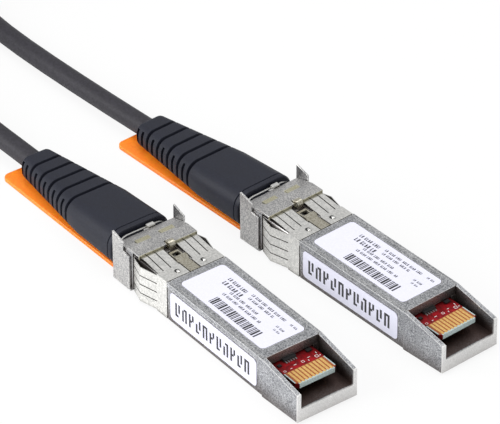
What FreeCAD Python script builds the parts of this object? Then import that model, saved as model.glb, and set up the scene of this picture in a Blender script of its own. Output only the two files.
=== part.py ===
import FreeCAD, Part
import math
import os
import Sketcher

# Direct attach cable: two pluggable metal-shelled plugs and one round cable between them.
# Frame: +Z up, resting surface at Z = 0, each plug lies along X with its nose towards +X.
# A plug's own frame has X = 0 at the nose tip and runs to -X towards the cable.

SIZES = [
    # die-cast shell, nose and lid
    ("body_width", 13.56), ("body_height", 8.5), ("nose_length", 10.4), ("nose_wall", 0.85),
    ("nose_floor", 3.2), ("nose_tip_height", 6.57), ("nose_tip_lift", 0.55),
    ("lid_length", 29.2), ("lid_wall", 0.63), ("lid_edge", 1.95), ("lid_roof", 0.9),
    ("lid_side_gap", 0.06), ("seam_gap", 0.05), ("shell_floor", 1.5),
    ("recess_depth", 0.25), ("recess_margin", 1.0), ("recess_corner", 1.3), ("recess_front", 1.7),
    ("label_film", 0.12), ("label_recess", 0.1), ("top_label_length", 25.2), ("top_label_border", 1.15),
    ("top_label_margin", 2.4), ("side_label_margin", 0.6), ("side_label_low", 0.9),
    # paddle card and what is on it
    ("card_drop", 3.25), ("card_thick", 1.0), ("card_width", 9.2), ("card_tip_inset", 3.0),
    ("card_corner", 0.6), ("card_tail", 3.2), ("card_side_gap", 0.15), ("card_ledge", 0.6),
    ("pad_pitch", 0.8), ("pad_width", 0.5), ("pad_length", 3.6), ("pad_film", 0.05), ("pad_inset", 0.2),
    ("chip_length", 2.2), ("chip_gap", 0.5), ("inner_chip_first", 4.0), ("inner_chip_pitch", 8.0),
    ("chip_width", 2.8), ("chip_height", 0.7), ("lead_size", 0.3),
    # neck under the spring collar, head and cover
    ("neck_length", 10.8), ("neck_inset", 0.28), ("neck_lift", 0.2), ("neck_top", 8.3),
    ("head_length", 5.5), ("head_inset", 0.03), ("head_lift", 0.7), ("head_top", 8.8),
    ("split_level", 4.9), ("cover_roof", 1.2), ("core_room_length", 7.3),
    # spring collar
    ("band_margin", 0.2), ("band_width", 3.1), ("sheet_film", 0.15), ("finger_reach", 4.8),
    ("finger_tip_run", 0.9), ("finger_lift", 0.5), ("finger_dip", 0.12), ("finger_slit", 0.22),
    ("top_finger_pitch", 1.75), ("side_reach", 4.0), ("side_tip_run", 3.2), ("side_bulge", 1.0),
    ("side_finger_pitch", 2.0), ("side_finger_low", 0.3), ("collar_slot", 2.7), ("dimple_size", 0.5),
    # latch pawl, its pin and curled spring
    ("pawl_width", 2.2), ("pawl_thick", 0.4), ("pawl_length", 6.4), ("boss_length", 1.3),
    ("boss_width", 2.6), ("boss_height", 0.35), ("boss_back", 5.3), ("pawl_window", 1.5),
    ("pivot_back", 0.9), ("pivot_level", 7.55), ("pin_radius", 0.4), ("pin_length", 4.8),
    ("pin_gap", 0.05), ("hub_wall", 0.25), ("pawl_side_gap", 0.2), ("pawl_top_drop", 0.05), ("curl_radius", 0.95),
    ("curl_sheet", 0.35), ("curl_width", 1.3), ("curl_offset", 0.5), ("curl_back", 8.9),
    # retaining plate on the head
    ("plate_thick", 0.4), ("plate_top", 9.3), ("plate_inset", 0.08), ("plate_front", 2.0),
    ("plate_level_run", 3.0), ("plate_drop", 1.25), ("plate_slot_run", 1.2), ("plate_slot_width", 3.3),
    ("plate_slot_side", 1.1), ("hook_width", 1.2), ("hook_height", 0.55),
    # release slider and pull tab
    ("slider_sheet", 0.35), ("slider_side_gap", 0.1), ("slider_low", 0.2), ("slider_travel", 2.0),
    ("arm_back", 0.3), ("arm_front", 5.2), ("arm_shoulder", 7.8), ("arm_neck", 3.3), ("ear_front", 10.0),
    ("ear_top", 10.9), ("web_tail", 4.5), ("web_width", 8.0), ("lug_width", 1.6), ("spring_radius", 0.5),
    ("spring_inset", 2.28), ("spring_length", 3.9), ("spring_gap", 0.1),
    ("tab_width", 10.8), ("tab_end_width", 12.2), ("tab_thick", 0.85), ("tab_back", 39.5),
    ("tab_front", 1.0), ("tab_corner", 1.8),
    # strain relief boot
    ("boot_gap", 1.5), ("boot_straight", 12.5), ("boot_taper", 22.3), ("boot_inset", 0.08),
    ("boot_low", 0.9), ("boot_height", 7.9), ("boot_corner", 3.2), ("boot_mid_inset", 0.2),
    ("boot_mid_height", 6.9), ("boot_end_width", 7.0),
    ("boot_end_height", 5.0), ("boot_end_corner", 2.2), ("boot_end_round", 0.7), ("boot_neck_width", 11.0),
    ("boot_neck_low", 1.8), ("boot_neck_height", 5.6), ("boot_neck_depth", 1.5),
    ("groove_first", 3.3), ("groove_pitch", 3.65), ("groove_width", 0.7), ("groove_depth", 0.9),
    ("groove_under", 0.35), ("side_slot_height", 2.6), ("side_slot_depth", 0.6),
    # cable
    ("cable_diameter", 4.2), ("cable_exit_level", 3.35), ("cable_drop_angle", 2.4), ("jacket_start", 8.3),
    ("core_diameter", 0.8), ("core_spacing", 1.3), ("core_overlap", 0.9), ("ferrule_wall", 0.35), ("ferrule_length", 2.4),
    ("ferrule_back", 1.6),
    # where each plug lies, and the hank of slack cable
    ("plug_a_x", 45.52), ("plug_a_y", -14.43), ("plug_a_yaw", 0.0),
    ("plug_b_x", 49.51), ("plug_b_y", 15.32), ("plug_b_yaw", 3.5),
    ("hank_x", -162.2), ("hank_y", -5.0), ("hank_low", 0.6), ("hank_height", 26.0), ("hank_run", 62.0),
    ("hank_inner", 10.5), ("hank_outer", 23.2), ("hank_flat", 0.2), ("tie_width", 6.0),
]

doc = FreeCAD.newDocument("direct_attach_cable")
sheet = doc.addObject("Spreadsheet::Sheet", "Sizes")


class Size:
    """A length that knows its number and the spreadsheet expression it comes from."""

    def __init__(self, text, value):
        self.text, self.value = text, float(value)

    @staticmethod
    def of(other):
        return other if isinstance(other, Size) else Size("%.6g" % other, other)

    def join(self, other, sign, value):
        return Size("(%s %s %s)" % (self.text, sign, Size.of(other).text), value)

    def __add__(self, other):
        return self.join(other, "+", self.value + Size.of(other).value)

    def __sub__(self, other):
        return self.join(other, "-", self.value - Size.of(other).value)

    def __mul__(self, other):
        return self.join(other, "*", self.value * Size.of(other).value)

    def __truediv__(self, other):
        return self.join(other, "/", self.value / Size.of(other).value)

    def __radd__(self, other):
        return Size.of(other) + self

    def __rsub__(self, other):
        return Size.of(other) - self

    def __rmul__(self, other):
        return Size.of(other) * self

    def __neg__(self):
        return Size("(0 - %s)" % self.text, -self.value)


class Sheet:
    """The named sizes of the spreadsheet, as attributes."""


s = Sheet()
for row, (alias, number) in enumerate(SIZES, 1):
    sheet.set("A%d" % row, alias)
    sheet.set("B%d" % row, "%g" % number)
    sheet.setAlias("B%d" % row, alias)
doc.recompute()
for alias, number in SIZES:
    setattr(s, alias, Size("Sizes." + alias, sheet.get(alias)))
# Widths that follow the body's width.
s.lid_width = s.body_width - s.lid_wall * 2
s.head_width = s.body_width - s.head_inset * 2
s.plate_width = s.body_width - s.plate_inset * 2
s.boot_width = s.body_width - s.boot_inset * 2
s.top_label_width = s.lid_width - s.top_label_border * 2
s.spring_offset = s.body_width / 2 - s.spring_inset
# The card hangs at its own distance under the body's top.
s.card_level = s.body_height - s.card_drop

ZERO = Size("0", 0)
subparts = []
poses = {}
ROLES = {"x": ("YZ_Plane", 1), "y": ("XZ_Plane", -1), "z": ("XY_Plane", 1)}


def bind(obj, prop, size):
    obj.setExpression(prop, Size.of(size).text)


def half(width):
    return (-width / 2, width / 2)


def box(name, xs, ys, zs):
    """Part::Box between bound low and high sides."""
    obj = doc.addObject("Part::Box", name)
    for prop, axis, (low, high) in (("Length", "x", xs), ("Width", "y", ys), ("Height", "z", zs)):
        bind(obj, prop, Size.of(high) - low)
        bind(obj, "Placement.Base." + axis, low)
    return obj


def rod(name, axis, radius, low, high, across):
    """Part::Cylinder along X, Y or Z, from low to high; across is its place on the other two axes."""
    obj = doc.addObject("Part::Cylinder", name)
    turn = {"x": ((0, 1, 0), 90), "y": ((1, 0, 0), -90), "z": ((0, 0, 1), 0)}[axis]
    obj.Placement = FreeCAD.Placement(FreeCAD.Vector(), FreeCAD.Rotation(FreeCAD.Vector(*turn[0]), turn[1]))
    bind(obj, "Radius", radius)
    bind(obj, "Height", Size.of(high) - low)
    place = dict(zip([a for a in "xyz" if a != axis], across))
    place[axis] = low
    for key, size in place.items():
        bind(obj, "Placement.Base." + key, size)
    return obj


def sketch_on(body, name, axis, level):
    """An empty sketch in the body, square to the axis at the level."""
    role, sign = ROLES[axis]
    sketch = body.newObject("Sketcher::SketchObject", name)
    plane = [f for f in body.Origin.OriginFeatures if f.Role == role][0]
    sketch.AttachmentSupport = [(plane, "")]
    sketch.MapMode = "FlatFace"
    bind(sketch, "AttachmentOffset.Base.z", Size.of(level) * sign)
    return sketch


def polygon(sketch, outline):
    """Closed polygon whose corners are bound to sizes."""
    corners = [(Size.of(u), Size.of(v)) for u, v in outline]
    points = [FreeCAD.Vector(u.value, v.value, 0) for u, v in corners]
    count = len(points)
    for i in range(count):
        sketch.addGeometry(Part.LineSegment(points[i], points[(i + 1) % count]), False)
    for i in range(count):
        sketch.addConstraint(Sketcher.Constraint("Coincident", i, 2, (i + 1) % count, 1))
    for i, corner in enumerate(corners):
        for kind, size in zip(("DistanceX", "DistanceY"), corner):
            k = sketch.addConstraint(Sketcher.Constraint(kind, -1, 1, i, 1, size.value))
            sketch.setExpression("Constraints[%d]" % k, size.text)


def rounded(sketch, u_low, u_high, v_low, v_high, corner):
    """Closed rectangle with four equal round corners, all bound to sizes."""
    u0, u1, v0, v1, r = [Size.of(a) for a in (u_low, u_high, v_low, v_high, corner)]
    a, b, c, d, e = u0.value, u1.value, v0.value, v1.value, r.value
    ends = [((a + e, c), (b - e, c)), ((b, c + e), (b, d - e)), ((b - e, d), (a + e, d)), ((a, d - e), (a, c + e))]
    centres = [(b - e, c + e), (b - e, d - e), (a + e, d - e), (a + e, c + e)]
    for start, end in ends:
        sketch.addGeometry(Part.LineSegment(FreeCAD.Vector(*start, 0), FreeCAD.Vector(*end, 0)), False)
    for k, (x, y) in enumerate(centres):
        circle = Part.Circle(FreeCAD.Vector(x, y, 0), FreeCAD.Vector(0, 0, 1), e)
        first = (k - 1) * math.pi / 2
        sketch.addGeometry(Part.ArcOfCircle(circle, first, first + math.pi / 2), False)
    for k in range(4):
        sketch.addConstraint(Sketcher.Constraint("Tangent", k, 2, 4 + k, 1))
        sketch.addConstraint(Sketcher.Constraint("Tangent", 4 + k, 2, (k + 1) % 4, 1))
    for k in range(3):
        sketch.addConstraint(Sketcher.Constraint("Equal", 4, 5 + k))
    for k in (0, 2):
        sketch.addConstraint(Sketcher.Constraint("Horizontal", k))
        sketch.addConstraint(Sketcher.Constraint("Vertical", k + 1))
    for kind, line, size in (("DistanceY", 0, v0), ("DistanceX", 1, u1), ("DistanceY", 2, v1), ("DistanceX", 3, u0)):
        k = sketch.addConstraint(Sketcher.Constraint(kind, -1, 1, line, 1, size.value))
        sketch.setExpression("Constraints[%d]" % k, size.text)
    k = sketch.addConstraint(Sketcher.Constraint("Radius", 4, r.value))
    sketch.setExpression("Constraints[%d]" % k, r.text)


def pad(body, sketch, axis, low, high):
    feature = body.newObject("PartDesign::Pad", sketch.Name + "_pad")
    feature.Profile = sketch
    bind(feature, "Length", Size.of(high) - low)
    return body


def prism(name, axis, outline, low, high):
    """PartDesign body: a bound polygon square to the axis, padded from low to high."""
    body = doc.addObject("PartDesign::Body", name)
    sketch = sketch_on(body, name + "_outline", axis, high if axis == "y" else low)
    polygon(sketch, outline)
    return pad(body, sketch, axis, low, high)


def slab(name, axis, sides, corner, low, high):
    """PartDesign body: a rounded rectangle square to the axis, padded from low to high."""
    body = doc.addObject("PartDesign::Body", name)
    sketch = sketch_on(body, name + "_outline", axis, high if axis == "y" else low)
    rounded(sketch, *sides, corner)
    return pad(body, sketch, axis, low, high)


def loft(name, sections):
    """PartDesign body: ruled loft through rounded rectangles, each (x, half width, low, high, corner)."""
    body = doc.addObject("PartDesign::Body", name)
    sketches = []
    for k, (x, side, low, high, corner) in enumerate(sections):
        sketch = sketch_on(body, "%s_section_%d" % (name, k), "x", x)
        rounded(sketch, -side, side, low, high, corner)
        sketches.append(sketch)
    feature = body.newObject("PartDesign::AdditiveLoft", name + "_loft")
    feature.Profile = sketches[0]
    feature.Sections = sketches[1:]
    feature.Ruled = True
    return body


def fuse(name, shapes):
    obj = doc.addObject("Part::MultiFuse", name)
    obj.Shapes = shapes
    return obj


def cut(name, base, tools):
    obj = doc.addObject("Part::Cut", name)
    obj.Base = base
    obj.Tool = tools[0] if len(tools) == 1 else fuse(name + "_tools", tools)
    return obj


def node(obj, label, plug=None):
    """Marks an object as a sub-part and lays it where its plug lies."""
    obj.Label = label
    if plug:
        obj.Placement = FreeCAD.Placement(FreeCAD.Vector(), FreeCAD.Rotation(FreeCAD.Vector(0, 0, 1), 1))
        bind(obj, "Placement.Base.x", getattr(s, "plug_%s_x" % plug))
        bind(obj, "Placement.Base.y", getattr(s, "plug_%s_y" % plug))
        bind(obj, "Placement.Rotation.Angle", getattr(s, "plug_%s_yaw" % plug))
    subparts.append(obj)
    return obj


# Stations along a plug, from the nose tip towards the cable.
x_lid = -s.nose_length
x_lid_end = x_lid - s.lid_length
x_neck = x_lid_end - s.seam_gap
x_band = x_neck - s.band_margin
x_band_end = x_band - s.band_width
x_head = x_neck - s.neck_length
x_head_end = x_head - s.head_length
x_boot = x_head_end - s.boot_gap
x_taper = x_boot - s.boot_straight
x_end = x_taper - s.boot_taper
x_jacket = x_neck - s.jacket_start
x_pivot = x_neck - s.pivot_back
# Levels and sides.
side = s.body_width / 2
neck_side = side - s.neck_inset
head_side = s.head_width / 2
lid_low = s.body_height - s.lid_edge
card_top = s.card_level + s.card_thick
card_side = s.card_width / 2 + s.card_side_gap
cable_radius = s.cable_diameter / 2
drop = Size("tan(%s * 1 deg)" % s.cable_drop_angle.text, math.tan(math.radians(s.cable_drop_angle.value)))


def cable_level(x):
    """Height of the cable's axis at a station inside the plug."""
    return s.cable_exit_level + (Size.of(x) - x_end) * drop


def along_cable(name, radius, x_far, x_near):
    """Part::Cylinder on the sloping cable axis, from x_near towards the cable, to x_far."""
    obj = doc.addObject("Part::Cylinder", name)
    obj.Placement = FreeCAD.Placement(FreeCAD.Vector(), FreeCAD.Rotation(FreeCAD.Vector(0, -1, 0), 92))
    slant = Size("cos(%s * 1 deg)" % s.cable_drop_angle.text, math.cos(math.radians(s.cable_drop_angle.value)))
    bind(obj, "Radius", radius)
    bind(obj, "Height", (Size.of(x_near) - x_far) / slant)
    bind(obj, "Placement.Rotation.Angle", 90 + s.cable_drop_angle)
    bind(obj, "Placement.Base.x", x_near)
    bind(obj, "Placement.Base.z", cable_level(x_near))
    return obj


def base_shell(p):
    """Lower casting: nose, floor, side walls, neck and lower half of the head."""
    n = "base_" + p
    nose = prism(n + "_nose", "y", [(0, s.nose_tip_lift), (0, s.nose_tip_height), (x_lid, s.body_height),
                                    (x_lid, 0)], *half(s.body_width))
    trunk = box(n + "_trunk", (x_neck, x_lid), half(s.body_width), (0, s.body_height))
    neck = box(n + "_neck", (x_head, x_neck), (-neck_side, neck_side), (s.neck_lift, s.split_level))
    head = box(n + "_head", (x_head_end, x_head), half(s.head_width), (s.head_lift, s.split_level))
    solid = fuse(n + "_solid", [nose, trunk, neck, head])
    nose_side = side - s.nose_wall
    room_side = s.card_width / 2 - s.card_ledge
    gap = s.seam_gap
    x_rear = x_neck - s.core_room_length
    tools = [
        box(n + "_mouth", (x_lid, 1), (-nose_side, nose_side), (s.nose_floor, s.body_height + 1)),
        box(n + "_room", (x_rear, x_lid + 0.01), (-room_side, room_side), (s.shell_floor, s.body_height + 1)),
        box(n + "_card_seat", (x_neck - s.card_tail - gap, x_lid + 0.01), (-card_side, card_side),
            (s.card_level, s.body_height + 1)),
        box(n + "_lid_seat", (x_neck - 0.01, x_lid + 0.01),
            (-(s.lid_width / 2 + s.lid_side_gap), s.lid_width / 2 + s.lid_side_gap),
            (lid_low, s.body_height + 1)),
        along_cable(n + "_bore", cable_radius + gap, x_head_end - 2, x_rear + 1),
        along_cable(n + "_ferrule_seat", cable_radius + s.ferrule_wall + gap,
                    x_jacket - s.ferrule_back - s.ferrule_length - gap, x_jacket - s.ferrule_back + gap),
        boot_neck(n + "_boot_seat", gap),
    ]
    recess = [(x_neck - 1, -1), (x_lid - (s.recess_front - s.recess_margin - 0.5), -1),
              (x_lid - (s.recess_front - s.recess_margin - 0.5), s.body_height / 2 - 0.95),
              (x_lid - s.recess_front, s.body_height / 2 + s.recess_corner - 0.95),
              (x_lid - s.recess_front, s.body_height - s.recess_margin),
              (x_neck - 1, s.body_height - s.recess_margin)]
    inner = side - s.recess_depth
    tools.append(prism(n + "_recess_right", "y", recess, inner, side + 1))
    tools.append(prism(n + "_recess_left", "y", recess, -side - 1, -inner))
    spring_room = s.spring_radius + s.spring_gap
    for tag, sign in (("left", 1), ("right", -1)):
        middle = s.spring_offset * sign
        tools.append(box("%s_spring_room_%s" % (n, tag), (x_spring_end - 0.01, x_lug + s.slider_sheet + gap * 2),
                         (middle - s.lug_width / 2 - gap, middle + s.lug_width / 2 + gap),
                         (0, spring_level + spring_room)))
    return node(cut(n, solid, tools), "base_shell_" + p, p)


# The release slider's spring lugs and the springs behind them, under the head.
x_lug = x_head - s.slider_sheet - 0.2
x_spring = x_lug - s.spring_gap
x_spring_end = x_spring - s.spring_length
web_low = s.slider_low
web_top = web_low + s.slider_sheet
spring_level = s.head_lift + s.spring_radius + s.spring_gap


def boot_neck(name, gap):
    """The boot's smaller root, which is held in the head; gap makes the pocket for it."""
    low, high = s.boot_neck_low - gap, s.boot_neck_low + s.boot_neck_height + gap
    near = x_head_end + s.boot_neck_depth + gap
    return slab(name, "x", (-(s.boot_neck_width / 2 + gap), s.boot_neck_width / 2 + gap, low, high), 1.5,
                x_boot, near)


def head_cover(p):
    """Upper casting over the cores: roof under the collar and upper half of the head."""
    n = "cover_" + p
    gap = s.seam_gap
    low = s.split_level + gap
    neck = box(n + "_neck", (x_head, x_neck), (-neck_side, neck_side), (low, s.neck_top))
    head = box(n + "_head", (x_head_end, x_head), half(s.head_width), (low, s.head_top - s.plate_thick))
    tail = prism(n + "_tail", "y", [(x_head_end, s.head_top - s.plate_thick - 1),
                                    (x_head_end, plate_low - s.plate_drop), (x_ramp, plate_low), (x_head, plate_low),
                                    (x_head, s.head_top - s.plate_thick - 1)], *half(s.plate_width))
    head = cut(n + "_head_trim", head, [prism(n + "_above_ramp", "y", [
        (x_head_end - 1, plate_low - s.plate_drop * 1.25), (x_ramp, plate_low), (x_head + 1, plate_low),
        (x_head + 1, s.ear_top), (x_head_end - 1, s.ear_top)], *half(s.body_width + 2))])
    pips = [rod("%s_pip_%d" % (n, k), "z", s.dimple_size / 2, s.neck_top - 0.5,
                s.neck_top + s.sheet_film + 0.05 + s.dimple_size / 4,
                (x_pip, (s.top_finger_pitch * 1.77) * sign)) for k, sign in enumerate((1, -1))]
    solid = fuse(n + "_solid", [neck, head, tail] + pips)
    slot = s.pawl_width / 2 + s.pawl_side_gap
    roof = s.neck_top - s.cover_roof
    tools = [
        box(n + "_room", (x_neck - s.core_room_length, x_neck + 1), (-card_side, card_side), (0, roof)),
        box(n + "_pawl_slot", (x_pawl_end - 0.4, x_neck + 1), (-slot, slot), (roof - 0.5, s.head_top + 2)),
        rod(n + "_pin_hole", "y", s.pin_radius + s.pin_gap / 2, -s.pin_length / 2 - 0.02, s.pin_length / 2 + 0.02,
            (x_pivot, s.pivot_level)),
        box(n + "_curl_seat", (x_curl - s.curl_radius - 0.1, x_pawl_end - 0.3),
            (s.curl_offset - s.curl_width / 2 - 0.1, s.curl_offset + s.curl_width / 2 + 0.1),
            (curl_floor, s.ear_top)),
        along_cable(n + "_bore", cable_radius + gap, x_head_end - 2, x_neck - s.core_room_length + 1),
        along_cable(n + "_ferrule_seat", cable_radius + s.ferrule_wall + gap,
                    x_jacket - s.ferrule_back - s.ferrule_length - gap, x_jacket - s.ferrule_back + gap),
        boot_neck(n + "_boot_seat", gap),
    ]
    return node(cut(n, solid, tools), "head_cover_" + p, p)


plate_low = s.plate_top - s.plate_thick
x_ramp = x_head - 1.0
x_pip = x_band - 1.4
x_pawl_end = x_pivot - s.pawl_length
x_curl = x_neck - s.curl_back
curl_floor = s.neck_top - 0.3


def lid(p):
    """Upper plate between the side walls, hollow below, with a shallow bed for the label."""
    n = "lid_" + p
    plate = slab(n + "_plate", "z", (x_lid_end, x_lid - s.seam_gap, -s.lid_width / 2, s.lid_width / 2), 0.4,
                 lid_low, s.body_height)
    tools = [
        box(n + "_hollow", (x_lid_end - 1, x_lid - 1.2), (-card_side, card_side), (0, s.body_height - s.lid_roof)),
        slab(n + "_bed", "z", (x_top_label_end - 0.1, x_top_label + 0.1, -s.top_label_width / 2 - 0.1,
                               s.top_label_width / 2 + 0.1), 0.9, s.body_height - s.label_recess, s.body_height + 1),
    ]
    return node(cut(n, plate, tools), "lid_" + p, p)


x_top_label = x_lid - s.top_label_margin
x_top_label_end = x_top_label - s.top_label_length


def labels(p):
    """Plain printed films: one on the lid, one in the side recess."""
    bed = s.body_height - s.label_recess
    node(slab("top_film_" + p, "z", (x_top_label_end, x_top_label, -s.top_label_width / 2, s.top_label_width / 2),
              0.8, bed, bed + s.label_film), "top_label_" + p, p)
    inner = side - s.recess_depth
    front = x_lid - s.recess_front - s.side_label_margin + 0.3
    node(slab("side_film_" + p, "y", (x_neck + 0.9, front, s.side_label_low,
                                      s.body_height - s.recess_margin - s.side_label_margin), 0.6,
              -inner - s.label_film, -inner), "side_label_" + p, p)


def paddle_card(p):
    """Circuit card with an edge connector at the nose, its pads and small chips."""
    tip, tail, corner = -s.card_tip_inset, x_neck - s.card_tail, s.card_corner
    wide = s.card_width / 2
    node(prism("card_" + p, "z", [(tail, -wide), (tip - corner, -wide), (tip, -wide + corner), (tip, wide - corner),
                                  (tip - corner, wide), (tail, wide)], s.card_level, card_top),
         "paddle_card_" + p, p)
    pads = []
    for k in range(10):
        middle = s.pad_pitch * (k - 4.5)
        for tag, low in (("top", card_top), ("under", s.card_level - s.pad_film)):
            pads.append(box("pad_%s_%s_%d" % (p, tag, k), (tip - s.pad_inset - s.pad_length, tip - s.pad_inset),
                            (middle - s.pad_width / 2, middle + s.pad_width / 2), (low, low + s.pad_film)))
    node(fuse("pads_" + p, pads), "contact_pads_" + p, p)
    chips = []
    x_chip = tip - s.pad_inset - s.pad_length - s.chip_gap
    for k, (share, scale) in enumerate(((0.02, 1.0), (-0.28, 0.6), (0.31, 0.5))):
        across, near = s.card_width * share, x_chip - s.chip_gap * (1 - scale)
        long, wide_k = s.chip_length * scale, s.chip_width * scale
        top = card_top + s.chip_height * (0.4 + 0.6 * scale)
        chips.append(box("chip_%s_%d" % (p, k), (near - long, near), (across - wide_k / 2, across + wide_k / 2),
                         (card_top, top)))
        for j in range(4 if k == 0 else 0):
            y = across + s.chip_width * (j - 1.5) / 4
            for t, (x0, x1) in enumerate(((near, near + s.lead_size), (near - long - s.lead_size, near - long))):
                chips.append(box("lead_%s_%d_%d" % (p, j, t), (x0, x1), (y - s.lead_size / 2, y + s.lead_size / 2),
                                 (card_top, card_top + s.lead_size)))
    for k in range(3):
        near = x_lid - s.inner_chip_first - s.inner_chip_pitch * k
        chips.append(box("inner_chip_%s_%d" % (p, k), (near - s.chip_length, near), half(s.chip_width),
                         (card_top, card_top + s.chip_height)))
    node(fuse("chips_" + p, chips), "card_chips_" + p, p)


def cable_entry(p):
    """What the plug holds of the cable: shielded cores on the card, crimped ferrule and jacket."""
    tail = x_neck - s.card_tail
    near = tail + s.core_overlap
    reach = s.core_diameter / 2
    cores = []
    for k, (sign, level) in enumerate(((1, card_top + reach), (-1, card_top + reach),
                                       (1, s.card_level - reach), (-1, s.card_level - reach))):
        cores.append(rod("core_%s_%d" % (p, k), "x", reach, x_jacket, near, (s.core_spacing / 2 * sign, level)))
    node(fuse("cores_" + p, cores), "cable_cores_" + p, p)
    stub = along_cable("jacket_%s_solid" % p, cable_radius, x_end, x_jacket)
    trim = box("jacket_%s_trim" % p, (x_jacket - 0.35, x_jacket + s.jacket_start), half(s.body_width),
               (0, s.body_height))
    node(cut("jacket_" + p, stub, [trim]), "cable_stub_" + p, p)
    for core in cores:
        bind(core, "Placement.Base.x", x_jacket - 0.35)
        bind(core, "Height", near - x_jacket + 0.35)
    far = x_jacket - s.ferrule_back - s.ferrule_length
    node(cut("ferrule_" + p, along_cable("ferrule_%s_solid" % p, cable_radius + s.ferrule_wall, far,
                                         x_jacket - s.ferrule_back),
             [along_cable("ferrule_%s_bore" % p, cable_radius, far - 1, x_jacket - s.ferrule_back + 1)]),
         "ferrule_" + p, p)


def boot_half(x):
    """Half width of the boot at a station on its taper."""
    mid = s.boot_width / 2 - s.boot_mid_inset
    return mid - (x_taper - x) * (mid - s.boot_end_width / 2) / s.boot_taper


def strain_boot(p):
    """Soft boot: straight front, tapered tail with full grooves and short side slots between them."""
    n = "boot_" + p
    low, r = s.boot_low, s.boot_end_round
    high, end_high = low + s.boot_height, low + s.boot_end_height
    mid_high = low + s.boot_mid_height
    wide, mid_wide, end_wide = s.boot_width / 2, boot_half(x_taper), s.boot_end_width / 2
    outer = loft(n + "_outer", [(x_boot, wide, low, high, s.boot_corner),
                                (x_taper, mid_wide, low, mid_high, s.boot_corner),
                                (x_end + r, end_wide, low, end_high, s.boot_end_corner),
                                (x_end, end_wide - r, low + r / 4, end_high - r / 4, s.boot_end_corner - r / 2)])
    d = s.groove_depth
    core = loft(n + "_core", [(x_boot - 1, wide - d, low + s.groove_under, high - d, s.boot_corner - d),
                              (x_taper, mid_wide - d, low + s.groove_under, mid_high - d, s.boot_corner - d),
                              (x_end + 1.5, end_wide - d, low + s.groove_under, end_high - d,
                               s.boot_end_corner - d)])
    slots = []
    for k in range(5):
        x = x_taper - s.groove_first - s.groove_pitch * k
        slots.append(box("%s_groove_%d" % (n, k), (x - s.groove_width / 2, x + s.groove_width / 2),
                         half(s.boot_width + 4), (0, s.ear_top)))
    rings = cut(n + "_rings", outer, slots)
    solid = fuse(n + "_solid", [rings, core, boot_neck(n + "_root", ZERO)])
    tools = [along_cable(n + "_bore", cable_radius, x_end - 2, x_head_end + 4)]
    for k in range(5):
        x = x_taper - s.groove_first - s.groove_pitch * (k + 0.5)
        middle = cable_level(x)
        reach = boot_half(x) - s.side_slot_depth
        for tag, (y0, y1) in enumerate(((reach, reach + 4), (-reach - 4, -reach))):
            tools.append(box("%s_slot_%d_%d" % (n, k, tag), (x - s.groove_width / 2, x + s.groove_width / 2),
                             (y0, y1), (middle - s.side_slot_height / 2, middle + s.side_slot_height / 2)))
    return node(cut(n, solid, tools), "strain_boot_" + p, p)


def emi_collar(p):
    """Folded spring sheet: band round the neck with rows of fingers on top and on both sides."""
    n = "collar_" + p
    film, low = s.sheet_film, s.neck_lift
    out = neck_side + film
    band = cut(n + "_band", box(n + "_band_out", (x_band_end, x_band), (-out, out), (low - film, s.neck_top + film)),
               [box(n + "_band_in", (x_band_end - 1, x_band + 1), (-neck_side, neck_side), (low, s.neck_top)),
                box(n + "_band_slot", (x_band_end - 1, x_band + 1), half(s.collar_slot), (s.neck_top - 1, s.head_top))]
               + [rod("%s_pip_hole_%d" % (n, k), "z", s.dimple_size / 2 + 0.02, s.neck_top - 1, s.head_top,
                      (x_pip, (s.top_finger_pitch * 1.77) * sign)) for k, sign in enumerate((1, -1))])
    top = s.neck_top + film
    peak, tip = x_band_end - s.finger_reach, x_band_end - s.finger_reach - s.finger_tip_run
    fingers = prism(n + "_top", "y", [
        (x_band_end, top - film), (x_band_end, top), (peak, top + s.finger_lift), (tip, top + s.finger_lift - s.finger_dip),
        (tip, top + s.finger_lift - s.finger_dip - film), (peak, top + s.finger_lift - film)],
        -(neck_side - s.finger_slit), neck_side - s.finger_slit)
    slits = [box(n + "_centre", (tip - 1, x_band_end), half(s.top_finger_pitch * 2 - 0.3), (low, s.ear_top))]
    for k in (2, 3):
        for sign in (1, -1):
            y = (s.top_finger_pitch * k - 0.15) * sign
            slits.append(box("%s_slit_%d_%d" % (n, k, sign + 1), (tip - 1, x_band_end),
                             (y - s.finger_slit / 2, y + s.finger_slit / 2), (low, s.ear_top)))
    fingers = cut(n + "_fingers", fingers, slits)
    parts = [band, fingers]
    bulge, tip = x_band_end - s.side_reach, x_band_end - s.side_reach - s.side_tip_run
    high = s.side_finger_low + s.side_finger_pitch * 3.9
    for tag, sign in (("left", 1), ("right", -1)):
        outline = [(x_band_end, (out - film) * sign), (x_band_end, out * sign), (bulge, (out + s.side_bulge) * sign),
                   (tip, (out + 0.06) * sign), (tip, (out + 0.06 - film) * sign),
                   (bulge, (out + s.side_bulge - film) * sign)]
        wing = prism("%s_wing_%s" % (n, tag), "z", outline, s.side_finger_low, high)
        gaps = []
        for k in range(1, 4):
            z = s.side_finger_low + s.side_finger_pitch * (k - 0.05)
            gaps.append(box("%s_gap_%s_%d" % (n, tag, k), (tip - 1, x_band_end), half(s.body_width * 2),
                            (z - s.finger_slit / 2, z + s.finger_slit / 2)))
        parts.append(cut("%s_side_%s" % (n, tag), wing, gaps))
    return node(fuse(n, parts), "emi_collar_" + p, p)


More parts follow.
